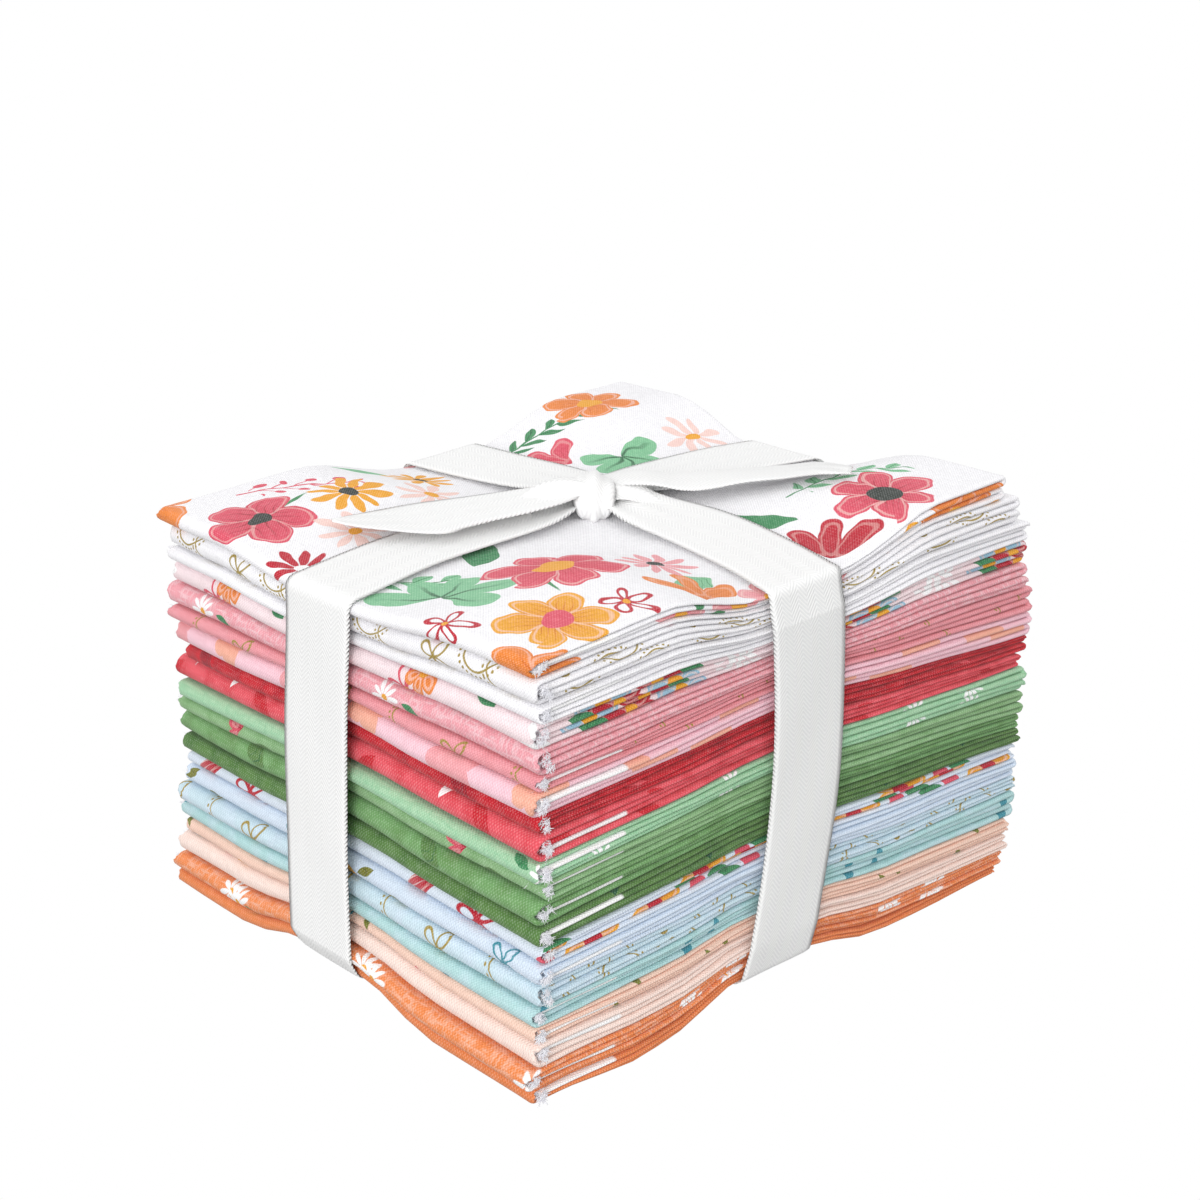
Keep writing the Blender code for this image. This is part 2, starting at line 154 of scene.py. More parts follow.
# Centre lines of the valleys that the tape makes, in millimetres: for the run
# front to back (at, x on top, x beneath), for the run left to right (at, y on
# top, y beneath)
RUN_BACK = (
    (-57.0, -2.6, -5.6),
    (-46.0, 1.2, -5.2),
    (-33.0, 4.2, -4.6),
    (-15.5, 6.5, -3.8),
    (0.0, 5.5, -3.0),
    (27.0, 5.6, -1.5),
    (37.0, 4.4, -0.8),
    (57.0, 1.9, 0.5),
)
RUN_SIDE = (
    (-71.0, 3.2, 4.4),
    (-60.0, 5.6, 4.4),
    (-46.0, 8.6, 4.3),
    (-34.0, 9.8, 4.2),
    (0.0, 9.0, 4.0),
    (30.0, 9.0, 3.2),
    (45.0, 7.6, 2.8),
    (60.0, 3.5, 2.4),
    (71.0, 0.3, 2.0),
)

# Centre line of the tape on the faces it crosses: height against x or y
TAPE_FRONT = ((3.0, -5.6), (40.0, -0.4), (74.0, -1.4), (84.0, -2.6))
TAPE_REAR = ((3.0, 0.5), (84.0, 1.9))
TAPE_LEFT = ((3.0, 4.4), (45.0, 5.0), (82.0, 3.2))
TAPE_RIGHT = ((3.0, 2.0), (84.0, 0.3))


# Colours of the prints as sRGB: chosen to be like the photograph's,
# then adjusted until the render came near them
INKS = {
    "white": "#FAF9FC",
    "snow": "#FFFFFF",
    "coral": "#E25268",
    "red": "#C2182F",
    "deep red": "#9E1226",
    "gold": "#F2A922",
    "amber": "#DB8A14",
    "orange": "#F08A3A",
    "burnt orange": "#D2661F",
    "mint": "#86C79A",
    "green": "#3E8E5A",
    "dark green": "#22603C",
    "olive": "#7E7F2C",
    "ink": "#2E3630",
    "blush": "#FBD8D0",
    "rose": "#F2A6AC",
    "peach": "#F8B49C",
    "line gold": "#A8903E",
    "sky": "#9FC8DE",
    "teal": "#3F93A4",
    "pink ground": "#FAE6EA",
    "coral ground": "#F0A2AC",
    "pink": "#EE9AA2",
    "light pink": "#FACEDA",
    "red ground": "#D0202F",
    "coral red": "#EC5A66",
    "mint ground": "#A9D6AE",
    "sage": "#93BC88",
    "leaf green": "#78A86A",
    "moss": "#5E8646",
    "deep moss": "#3F6A31",
    "ice": "#DFEAF8",
    "pale blue": "#D8E6F6",
    "aqua white": "#CBE2EC",
    "aqua": "#B4DBDB",
    "shell": "#F8D0BC",
    "pale shell": "#FBE4DA",
    "tangerine": "#F08B4C",
    "copper": "#E98850",
}

# How the petals of each kind of motif are drawn, as shares of its size
STYLES = {
    "daisy": dict(Count=10, Width=0.15, Inner=0.16, Taper=0.35, Core=0.2),
    "star": dict(Count=8, Width=0.17, Inner=0.10, Taper=0.5, Core=0.16),
    "bloom": dict(Count=6, Width=0.42, Taper=0.55, Core=0.27, Veins=0.85, Rib=1.5, Rim=0.5),
    "poppy": dict(Count=5, Width=0.50, Taper=0.55, Core=0.2, Veins=0.85, Rib=2.1, Rim=0.4),
    "tulip": dict(Count=9, Fan=0.31, Width=0.22, Taper=0.3, Veins=0.8, Rib=1.3, Rim=0.3),
    "hand": dict(Count=7, Fan=0.72, Width=0.36, Taper=0.6, Veins=0.9, Rib=5.0),
    "leaf": dict(Count=1, Width=0.19, Pointed=1, Veins=0.75, Slant=0.9, Rib=1.7),
    "outline": dict(Count=5, Width=0.27, Taper=0.6, Core=0.14, Hollow=1, Line=0.30),
    "wings": dict(Count=4, Width=0.30, Taper=0.6, Hollow=1, Line=0.19),
    "dot": dict(Count=1, Width=1.0, Inner=-1.0),
    "stroke": dict(Count=1, Width=0.035, Inner=0.0),
    "spot": dict(Count=5, Width=0.5, Taper=0.3),
}

# Each row: motif, x, y, turn in degrees, size, then its inks: fill, shade and
# heart. Where fewer than three are given, they are taken again in turn
TOP_PRINT = (
    ("stroke", -44.0, -38.0, 64, 25.0, "green"),
    ("stroke", -44.0, 40.0, 200, 22.0, "green"),
    ("spray", -66.0, 0.0, -24, 24.0, "mint", "green", "green"),
    ("spray", 17.0, 47.0, 8, 30.0, "green", "dark green"),
    ("spray", 37.0, -29.0, -10, 24.0, "mint", "green", "green"),
    ("berry", -50.0, 51.0, -20, 24.0, "coral"),
    ("berry", 60.0, -22.0, 105, 24.0, "red", "coral", "coral"),
    ("hand", -57.0, -21.0, 20, 14.0, "mint", "dark green"),
    ("hand", 34.0, 21.0, -100, 12.0, "mint", "dark green"),
    ("leaf", -39.0, -12.0, 35, 17.0, "green", "dark green"),
    ("leaf", 14.0, -22.0, -50, 20.0, "green", "dark green"),
    ("leaf", -26.0, 55.0, -50, 15.0, "mint", "green"),
    ("leaf", -8.0, -45.0, 190, 16.0, "mint", "green"),
    ("bloom", -34.0, -28.0, 12, 14.0, "coral", "red", "gold"),
    ("poppy", -59.0, 36.0, 40, 12.5, "coral", "deep red", "ink"),
    ("bloom", 44.0, -46.0, 50, 12.0, "coral", "deep red", "ink"),
    ("bloom", -53.0, -47.0, 30, 12.0, "gold", "burnt orange", "coral"),
    ("bloom", 48.0, 48.0, 5, 12.0, "orange", "burnt orange", "gold"),
    ("tulip", -20.0, -56.0, 70, 15.0, "orange", "burnt orange"),
    ("tulip", 20.0, -52.0, 40, 15.0, "red", "deep red"),
    ("tulip", 22.0, 28.0, 95, 14.0, "coral", "red"),
    ("poppy", 82.0, -60.0, 0, 13.0, "orange", "burnt orange", "gold"),
    ("bloom", -2.0, -58.0, 20, 8.5, "rose", "coral", "gold"),
    ("leaf", 5.0, -62.0, 40, 9.0, "green", "dark green"),
    ("daisy", -36.0, 35.0, 0, 9.5, "gold", "gold", "ink"),
    ("daisy", -64.0, 13.0, 20, 9.0, "red", "red", "snow"),
    ("daisy", -13.5, -35.0, 10, 8.5, "rose", "rose", "ink"),
    ("daisy", 29.0, 4.0, 10, 8.0, "gold", "amber", "ink"),
    ("daisy", -12.0, 42.0, 10, 8.0, "gold", "amber", "ink"),
    ("star", -45.0, 20.0, 30, 9.5, "blush", "amber", "gold"),
    ("star", -19.0, 28.0, 5, 9.0, "blush", "amber", "gold"),
    ("star", 58.0, 20.0, 5, 9.0, "blush", "amber", "gold"),
    ("outline", -68.0, -34.0, 15, 6.0, "red", "red", "gold"),
    ("outline", -37.0, -51.0, 65, 5.5, "red", "red", "gold"),
    ("wings", 12.5, 36.0, 30, 4.6, "teal", "teal", "gold"),
)

# Motifs of the other prints. x is 0 on the big fold, so each row with a small
# x shows there, and y runs along it; the tile's size comes first
PRINTS = {
    "quarter_01_large_floral": ("white", "plain", "white", (155.0, 122.0), TOP_PRINT),
    "quarter_02_gold_line": ("white", "plain", "white", (34.0, 31.0), (
        ("wings", 1.0, 0.0, 35, 4.4, "line gold"),
        ("arc", -3.0, 11.5, 60, 6.0, "line gold"),
        ("arc", -4.5, 20.0, 20, 5.0, "line gold"),
        ("wings", 17.5, 15.0, 70, 4.4, "line gold"),
        ("arc", 14.0, -1.0, 80, 6.0, "line gold"),
    )),
    "quarter_03_white": ("white", "plain", "white", (40.0, 40.0), ()),
    "quarter_04_pink_floral": ("pink ground", "plain", "blush", (57.0, 63.0), (
        ("stroke", 2.0, 24.0, 80, 11.0, "green"),
        ("outline", 1.5, -22.0, 20, 5.5, "coral", "coral", "gold"),
        ("daisy", 0.5, 2.0, 10, 7.5, "snow", "snow", "gold"),
        ("leaf", -2.0, 17.0, 110, 8.0, "green", "dark green"),
        ("poppy", 25.0, 6.0, 30, 8.0, "red", "deep red", "gold"),
        ("leaf", 17.0, -14.0, 60, 9.0, "green", "dark green"),
        ("daisy", 24.0, -22.0, 0, 7.0, "snow", "snow", "gold"),
        ("bloom", -21.0, 24.0, 0, 8.0, "sky", "sky", "gold"),
        ("star", -19.0, -2.0, 0, 6.5, "gold", "orange", "red"),
        ("leaf", -12.0, -12.0, 200, 8.0, "mint", "green"),
        ("bloom", -3.0, 37.0, 0, 5.0, "orange", "burnt orange", "gold"),
        ("leaf", 12.0, 5.0, 15, 8.0, "green", "dark green"),
        ("bloom", -18.0, 6.5, 0, 7.0, "sky", "sky", "gold"),
    )),
    "quarter_05_coral_daisy": ("coral ground", "hatch", "pink ground", (53.0, 61.0), (
        ("leaf", 0.0, -21.0, -70, 5.0, "green", "dark green"),
        ("daisy", 0.5, -16.0, 10, 3.9, "snow", "snow", "gold"),
        ("daisy", 26.0, 12.0, 0, 4.2, "snow", "snow", "gold"),
        ("leaf", 22.0, 9.0, 200, 5.0, "green", "dark green"),
        ("daisy", 14.0, 27.0, 0, 3.6, "snow", "snow", "gold"),
    )),
    "quarter_06_pink_gold": ("pink", "tonal", "coral ground", (37.0, 33.0), (
        ("arc", -2.0, 9.0, 60, 5.4, "line gold"),
        ("wings", 2.0, -3.0, 35, 4.2, "line gold"),
        ("wings", 19.5, 14.0, 70, 4.2, "line gold"),
        ("arc", 16.0, -1.0, 80, 6.0, "line gold"),
    )),
    "quarter_07_light_pink": ("light pink", "plain", "rose", (51.0, 47.0), (
        ("spot", 1.0, 12.0, 20, 7.0, "rose", "rose", "light pink"),
        ("spot", 4.0, -9.0, 60, 6.0, "peach", "rose", "light pink"),
        ("spot", 25.0, 2.0, 0, 8.0, "rose", "peach", "light pink"),
        ("spot", -16.0, 19.0, 0, 6.0, "peach", "rose", "light pink"),
    )),
    "quarter_08_deep_red": ("red ground", "tonal", "deep red", (47.0, 43.0), (
        ("leaf", 2.0, 4.0, 130, 9.0, "deep red", "red ground"),
        ("leaf", 18.0, -14.0, 40, 10.0, "coral red", "red ground", "deep red"),
    )),
    "quarter_09_coral_red": ("coral red", "tonal", "red ground", (61.0, 68.0), (
        ("leaf", -1.0, -12.0, 50, 8.0, "red ground", "red", "red"),
        ("leaf", 2.0, 22.0, 120, 8.0, "red ground", "red", "red"),
        ("leaf", 0.0, -31.0, 200, 6.0, "snow", "rose", "rose"),
        ("leaf", 25.0, 7.0, 30, 9.0, "red ground", "red", "red"),
    )),
    "quarter_10_mint_daisy": ("mint ground", "hatch", "mint", (53.0, 67.0), (
        ("leaf", 1.0, 12.0, 70, 5.0, "green", "dark green"),
        ("daisy", 0.0, 8.0, 10, 3.8, "snow", "snow", "gold"),
        ("daisy", 24.0, -19.0, 0, 4.0, "snow", "snow", "gold"),
        ("daisy", 12.0, -30.0, 0, 3.6, "red", "red", "gold"),
    )),
    "quarter_11_sage_floral": ("sage", "tonal", "leaf green", (63.0, 71.0), (
        ("leaf", -1.0, 24.0, 100, 7.0, "moss", "dark green"),
        ("tulip", 1.0, 34.0, 80, 6.0, "coral", "deep red", "ink"),
        ("leaf", 21.0, -9.0, 40, 8.0, "olive", "ink", "ink"),
        ("poppy", 29.0, 3.0, 0, 6.0, "coral", "deep red", "ink"),
        ("star", -18.0, -20.0, 0, 5.0, "red", "deep red", "gold"),
        ("leaf", -14.0, -9.0, 70, 6.0, "gold", "olive", "ink"),
    )),
    "quarter_12_green_leaf": ("leaf green", "tonal", "moss", (49.0, 57.0), (
        ("leaf", 1.5, 2.0, 70, 9.0, "moss", "dark green"),
        ("leaf", 0.0, 25.0, 110, 8.0, "moss", "dark green"),
        ("leaf", 24.0, -13.0, 30, 9.0, "moss", "dark green"),
    )),
    "quarter_13_olive": ("moss", "tonal", "deep moss", (51.0, 61.0), (
        ("leaf", 20.0, 4.0, 60, 8.0, "dark green", "ink", "moss"),
    )),
    "quarter_14_blue_floral": ("ice", "plain", "white", (59.0, 73.0), (
        ("outline", 0.0, 33.0, 20, 6.0, "red"),
        ("tulip", 3.0, -17.0, -80, 12.0, "red", "snow", "gold"),
        ("dot", 1.5, 15.0, 0, 2.6, "coral", "red"),
        ("stroke", 2.0, -35.0, -60, 8.0, "red"),
        ("leaf", -16.0, 6.0, 60, 9.0, "green", "dark green"),
        ("bloom", 26.0, 4.0, 10, 8.0, "gold", "burnt orange", "red"),
        ("leaf", 17.0, 24.0, 20, 9.0, "olive", "dark green"),
        ("poppy", -20.0, -20.0, 10, 9.0, "red", "deep red", "gold"),
        ("bloom", 14.0, 15.5, 40, 8.0, "gold", "burnt orange", "red"),
        ("leaf", -9.0, 15.0, 10, 8.0, "green", "dark green"),
    )),
    "quarter_15_blue_leaf": ("pale blue", "plain", "ice", (55.0, 64.0), (
        ("leaf", 2.0, -6.0, 110, 5.5, "gold", "ink"),
        ("leaf", -2.0, -10.0, 60, 5.0, "olive", "ink", "gold"),
        ("leaf", 2.0, -20.0, 100, 5.0, "olive", "ink", "gold"),
        ("wings", 0.5, 16.0, 35, 3.6, "teal", "teal", "ink"),
        ("leaf", 21.0, 9.0, 100, 7.0, "olive", "ink", "gold"),
        ("star", 26.0, -17.0, 0, 5.0, "deep red", "ink", "gold"),
        ("leaf", -19.0, 25.0, 30, 6.0, "gold", "ink"),
        ("wings", -18.0, -23.0, 0, 3.6, "ink"),
    )),
    "quarter_16_aqua_gold": ("aqua white", "tonal", "pale blue", (35.0, 30.0), (
        ("wings", 1.0, -1.0, 35, 4.4, "line gold"),
        ("arc", -3.0, 9.5, 60, 6.0, "line gold"),
        ("wings", 17.5, 15.0, 70, 4.4, "line gold"),
        ("arc", 14.0, -1.0, 80, 6.0, "line gold"),
    )),
    "quarter_17_aqua": ("aqua", "tonal", "aqua white", (47.0, 59.0), (
        ("leaf", 2.0, -3.0, 70, 7.0, "teal"),
        ("leaf", -1.0, 24.0, 120, 4.0, "teal"),
    )),
    "quarter_18_peach_sprig": ("shell", "plain", "pale shell", (51.0, 66.0), (
        ("stroke", 1.5, -7.0, -85, 12.0, "ink"),
        ("leaf", 1.0, -12.0, 30, 4.0, "olive", "ink"),
        ("leaf", 0.0, -9.0, 150, 4.0, "olive", "ink"),
        ("wings", 0.5, -2.0, 35, 3.0, "teal", "ink", "ink"),
        ("leaf", 2.0, -33.0, 100, 5.0, "gold", "ink"),
        ("dot", 1.0, -24.0, 0, 0.7, "coral", "red"),
        ("leaf", 22.0, 8.0, 70, 6.0, "olive", "ink", "gold"),
        ("star", -18.0, 3.0, 0, 4.5, "red", "ink", "gold"),
    )),
    "quarter_19_pale_peach": ("pale shell", "plain", "shell", (60.0, 55.0), (
        ("star", 22.0, 18.0, 0, 5.0, "green", "dark green", "gold"),
    )),
    "quarter_20_orange_daisy": ("tangerine", "hatch", "shell", (59.0, 47.0), (
        ("leaf", 1.0, -17.0, -60, 4.0, "green", "dark green"),
        ("daisy", 0.0, -11.5, 10, 4.2, "snow", "snow", "gold"),
        ("daisy", 1.0, 33.0, 0, 4.2, "snow", "snow", "gold"),
        ("daisy", 27.0, 9.0, 0, 4.2, "snow", "snow", "gold"),
    )),
    "quarter_21_orange": ("copper", "tonal", "tangerine", (47.0, 57.0), ()),
}


def eased(t):
    """Zero to one with level ends."""
    t = np.clip(t, 0.0, 1.0)
    return t * t * (3.0 - 2.0 * t)


def along(table, at, column=1):
    """A smooth curve through a table's column, read at one or many places."""
    xs = np.array([row[0] for row in table], float)
    ys = np.array([row[column] for row in table], float)
    slopes = np.gradient(ys, xs) if len(xs) > 1 else np.zeros(1)
    at = np.clip(np.asarray(at, float), xs[0], xs[-1])
    i = np.clip(np.searchsorted(xs, at) - 1, 0, len(xs) - 2)
    step = xs[i + 1] - xs[i]
    t = (at - xs[i]) / step
    start = (1 + 2 * t) * (1 - t) ** 2 * ys[i] + t * (1 - t) ** 2 * step * slopes[i]
    end = t * t * (3 - 2 * t) * ys[i + 1] - t * t * (1 - t) * step * slopes[i + 1]
    return start + end


def cumulative(heights):
    """Share of the whole height below each boundary, from the floor up."""
    sums = np.concatenate([[0.0], np.cumsum(heights[::-1])])
    return sums / sums[-1]


SHARE_LEFT = cumulative([row["left_high"] for row in ROWS])
SHARE_RIGHT = cumulative([row["right_high"] for row in ROWS])


def share(u, level):
    """Share of the stack's height below this level, at this place along it."""
    middle = level / LEVELS
    marks = np.arange(LEVELS + 1)
    left = np.interp(level, marks, SHARE_LEFT)
    right = np.interp(level, marks, SHARE_RIGHT)
    side = np.where(u < 0, left, right)
    return middle + (side - middle) * np.minimum(1.0, np.abs(u) / HALF_LENGTH)


def both(a, b, most):
    """Two crossing valleys that don't add up beyond the deeper one."""
    a = np.minimum(a, most * 0.985)
    b = np.minimum(b, most * 0.985)
    return most * (1.0 - (1.0 - a / most) * (1.0 - b / most))


def valley(u, v):
    """How far the two runs of tape press the top down."""
    across = VALLEY_ACROSS * eased(1.0 - (np.abs(u) - VALLEY_FLAT) / VALLEY_SIDE)
    deep = np.interp(u, (-HALF_LENGTH, 0.0, HALF_LENGTH), VALLEY_ALONG)
    side = eased(1.0 - (np.abs(v) - VALLEY_FLAT) / VALLEY_SIDE)
    extra = np.maximum(0.0, deep - VALLEY_MOST * 0.985) * side
    return both(across, deep * side, VALLEY_MOST) + extra


def lift(u, v):
    """How far the two runs of tape raise the bottom from the floor."""
    across = LIFT_ACROSS * eased(1.0 - (np.abs(u) - LIFT_FLAT) / LIFT_SIDE)
    side = LIFT_ALONG * eased(1.0 - (np.abs(v) - LIFT_FLAT) / LIFT_SIDE)
    return both(across, side, LIFT_MOST)


def unevenness(u, v, level):
    """Slow waves that all neighbouring layers share, in millimetres."""
    slow = np.sin(u / 12.5 + 0.33 * level + 0.6) * np.sin(v / 15.0 - 0.27 * level + 1.1)
    quick = np.sin(u / 5.3 - 0.21 * level) * np.sin(v / 6.1 + 0.4 * level + 2.0)
    calm = np.minimum(1.0, level / 3.0)
    return (0.26 * slow + 0.07 * quick) * calm


def puckers(u, v, pressed):
    """Soft creases that fan out from the knot over the top cloths."""
    x, y = u - 1.0, v + 1.0
    far = np.hypot(x, y)
    turn = np.arctan2(y, x)
    fan = np.sin(7.0 * turn + 0.8) + 0.6 * np.sin(11.0 * turn + 2.1)
    return 0.30 * pressed * fan * eased((far - 8.0) / 8.0) * np.exp(-far / 30.0)


def place(u, v, level):
    """Where points of the even stack lie in the tied bundle, in millimetres."""
    high = level / LEVELS
    shift_x = along(RUN_BACK, v, 2) * (1.0 - high) + along(RUN_BACK, v, 1) * high
    shift_y = along(RUN_SIDE, u, 2) * (1.0 - high) + along(RUN_SIDE, u, 1) * high
    x = u + shift_x * np.maximum(0.0, 1.0 - np.abs(u) / HALF_LENGTH)
    y = v + shift_y * np.maximum(0.0, 1.0 - np.abs(v) / HALF_DEPTH)
    a = u / HALF_LENGTH
    b = v / HALF_DEPTH
    top = TOP_HEIGHT + TOP_RISE_X * a + TOP_RISE_Y * b + TOP_TWIST * a * b
    pressed = np.maximum(0.0, (level - PRESSED_FROM) / (LEVELS - PRESSED_FROM)) ** 1.2
    lifted = np.maximum(0.0, 1.0 - level / LIFTED_TO) ** 1.2
    z = share(u, level) * top - valley(u, v) * pressed + lift(u, v) * lifted
    z = z + unevenness(u, v, level) + puckers(u, v, pressed)
    return np.stack([x, y, z], axis=-1) + CENTRED_BY


def near_band(at):
    """One beside the tape, falling to zero where the bank is full."""
    return eased((BANK_AT - np.abs(at)) / (BANK_AT - BAND_AT))


def stations(start, end, step):
    """Places along a straight run: close together at its ends."""
    length = abs(end - start)
    near = np.array((0.0, 0.7, 1.8, 3.6, 6.5))
    middle = np.linspace(10.0, length - 10.0, max(2, round((length - 20.0) / step)))
    places = np.concatenate([near, middle, (length - near)[::-1]])
    return start + math.copysign(1.0, end - start) * places


def fold_path(row, step):
    """The way one cloth's folded strip goes, seen from the front: lower inner
    run, turn at the right, lower outer run, big fold at the left, upper outer
    run, turn at the right, upper inner run. Gives u, share of the height, the
    outward normal and the local size that a layer's offset is a share of."""
    small = row["right_high"] / 8.0
    big = row["left_high"] * 3.0 / 8.0
    right = row["right"] - small - row["right_high"] * 1.5 * LAYER
    left = row["left"] + big + row["left_high"] * 1.5 * LAYER
    lower_in, lower_out, upper_in, upper_out = 0.375, 0.125, 0.625, 0.875
    path = []

    def run(start, end, t, normal):
        for u in stations(start, end, step):
            path.append((u, t, 0.0, normal, 1.0))

    def turn(centre, t, radius, share_radius, start, end, steps, size):
        for i in range(1, steps):
            angle = math.radians(start + (end - start) * i / steps)
            c, s = math.cos(angle), math.sin(angle)
            path.append((centre + radius * c, t + share_radius * s, c, s, size))

    run(left + row["lower_gap"], right, lower_in, 1.0)
    turn(right, 0.25, small, 0.125, 90, -90, 7, row["right_high"])
    run(right, left, lower_out, -1.0)
    turn(left, 0.5, big, 0.375, -90, -270, 12, row["left_high"])
    run(left, right, upper_out, 1.0)
    turn(right, 0.75, small, 0.125, 90, -90, 7, row["right_high"])
    run(right, left + row["upper_gap"], upper_in, -1.0)
    return np.array(path)


def width_path(row, step):
    """The way the cloth's width is folded, front to back: both raw edges lie
    inside the front fold. Gives v and the layer's offset as a share of the
    cloth's height; the front fold is puffed a little."""
    outer, inner = 1.5 * LAYER, 0.5 * LAYER
    front = row["front"] + outer * MEAN_HIGH * RIDGE_DEEP
    back = row["back"] - inner * MEAN_HIGH
    path = []

    def run(start, end, offset):
        for v in stations(start, end, step):
            path.append((v, offset))

    def turn(centre, middle, radius, start, end, steps, deep=1.0):
        for i in range(1, steps):
            angle = math.radians(start + (end - start) * i / steps)
            v = centre + radius * MEAN_HIGH * deep * math.cos(angle)
            path.append((v, middle + radius * math.sin(angle)))

    run(front + 1.6, back, inner)
    turn(back, 2 * inner, inner, -90, 90, 4)
    run(back, front, outer)
    turn(front, 0.0, outer, 90, 270, 10, RIDGE_DEEP)
    run(front, back, -outer)
    turn(back, -2 * inner, inner, 90, -90, 4)
    run(back, front + 1.6, -inner)
    path = np.array(path)
    puff = np.exp(-np.maximum(0.0, path[:, 0] - row["front"]) / 2.2)
    path[:, 1] *= 1.0 + 0.30 * puff * (np.abs(path[:, 1]) > inner * 1.5)
    return path


def walked(a, b, full):
    """Distance walked along a path of points, scaled to the cut's real size."""
    steps = np.hypot(np.diff(a), np.diff(b))
    total = np.concatenate([[0.0], np.cumsum(steps)])
    return total * full / total[-1]


def sheet_points(index):
    """Points of one folded cloth and where each lies on the flat cut."""
    row = ROWS[index]
    low = LEVELS - 1 - index
    row["lower_gap"] = row["left_high"] * (0.10 * math.sin(1.7 * index) - 0.03)
    row["upper_gap"] = row["left_high"] * (0.10 * math.sin(2.9 * index + 1.0) - 0.03)
    fine = 4.6 if low >= PRESSED_FROM else 7.0
    path = fold_path(row, fine)
    width = width_path(row, fine)
    u, t, nu, nt, size = (path[:, i][:, None] for i in range(5))
    v, offset = width[:, 0][None, :], width[:, 1][None, :]
    level_t = t + nt * offset
    u_all = u + nu * offset * size

    # At the two ends the layers nearest the middle reach deeper into the fold
    tuck = (0.5 + offset / (3.0 * LAYER)) * np.exp(-np.abs(u - row["left"]) / 4.0)
    u_all = u_all - 0.16 * row["left_high"] * tuck * (np.abs(t - 0.5) < 0.2) * (nu == 0.0)
    v_all = np.broadcast_to(v, level_t.shape).copy()

    # Each run of the strip reaches a little further or less at the front
    runs = np.round(t * 4.0 - 0.5)
    reach = 0.40 * np.sin(2.3 * index + 1.9 * runs) + 0.24 * np.sin(u / 13.0 + runs * 1.3 + index)
    reach = reach + 0.10 * np.sin(u / 4.7 + 2.0 * runs + 0.7 * index)
    if low < 4:
        reach = reach - 1.5 * np.exp(-(((u + 44.0) / 11.0) ** 2)) * (1.0 - low / 4.0)
    front_part = np.exp(-np.maximum(0.0, v_all - row["front"]) / EDGE_FADE)
    back_part = np.exp(-np.maximum(0.0, row["back"] - v_all) / EDGE_FADE)
    band = PULL_IN * near_band(u_all)
    v_all += (band + reach) * front_part - (band - reach) * back_part

    # The folded side and the far side follow the tape in too
    band = PULL_IN * near_band(v_all)
    skew = 0.5 * math.sin(2.4 * index) * v_all / HALF_DEPTH
    wander = 0.25 * np.sin(v_all / 11.0 + 1.3 * index)
    left_part = np.exp(-np.maximum(0.0, u_all - row["left"]) / EDGE_FADE)
    right_part = np.exp(-np.maximum(0.0, row["right"] - u_all) / EDGE_FADE)
    u_all += (band + skew + wander) * left_part - (band - skew - wander) * right_part

    gap = PIECE_GAP / (2 * MEAN_HIGH)
    level = low + gap + level_t * (1.0 - 2.0 * gap)
    points = place(u_all, v_all, level)
    points[..., 2] = np.maximum(points[..., 2], 0.02)

    thick = np.mean((row["left_high"], row["right_high"]))
    p = walked(path[:, 0], path[:, 1] * thick, CUT_LENGTH)
    q = walked(width[:, 0], width[:, 1] * thick, CUT_WIDTH)
    if row["selvedge"] == "upper":
        p = CUT_LENGTH - p
    row["spots"] = (points.reshape(-1, 3), u_all.ravel(), v_all.ravel())
    flat = np.stack(np.broadcast_arrays(p[:, None], q[None, :]), axis=-1)
    return points, flat


def add_object(name, data):
    """A new object of this data, linked to the scene."""
    item = bpy.data.objects.new(name, data)
    bpy.context.scene.collection.objects.link(item)
    return item


def grid_object(name, grids, ring=False):
    """A smooth mesh from grids of points in millimetres, each with its UVs in
    millimetres. A ring joins its last column to its first, and is closed at
    both ends unless it comes back to its start."""
    faces, first = [], 0
    for points, _ in grids:
        rows, count = points.shape[:2]
        ids = first + np.arange(rows * count).reshape(rows, count)
        across = np.concatenate([ids, ids[:, :1]], axis=1) if ring else ids
        quads = np.stack(
            [across[:-1, :-1], across[1:, :-1], across[1:, 1:], across[:-1, 1:]], axis=-1
        )
        faces += quads.reshape(-1, 4).tolist()
        if ring and not np.allclose(points[0], points[-1]):
            faces += [ids[0].tolist(), ids[-1, ::-1].tolist()]
        first += rows * count
    points, flat = (np.concatenate([g[i].reshape(-1, 3 - i) for g in grids]) for i in (0, 1))
    mesh = bpy.data.meshes.new(name)
    mesh.from_pydata((points * MM).tolist(), [], faces)
    layer = mesh.uv_layers.new(name="cut")
    corners = np.zeros(len(mesh.loops), np.int32)
    mesh.loops.foreach_get("vertex_index", corners)
    layer.data.foreach_set("uv", flat[corners].astype(np.float32).ravel())
    mesh.update()
    mesh.shade_smooth()
    return add_object(name, mesh)


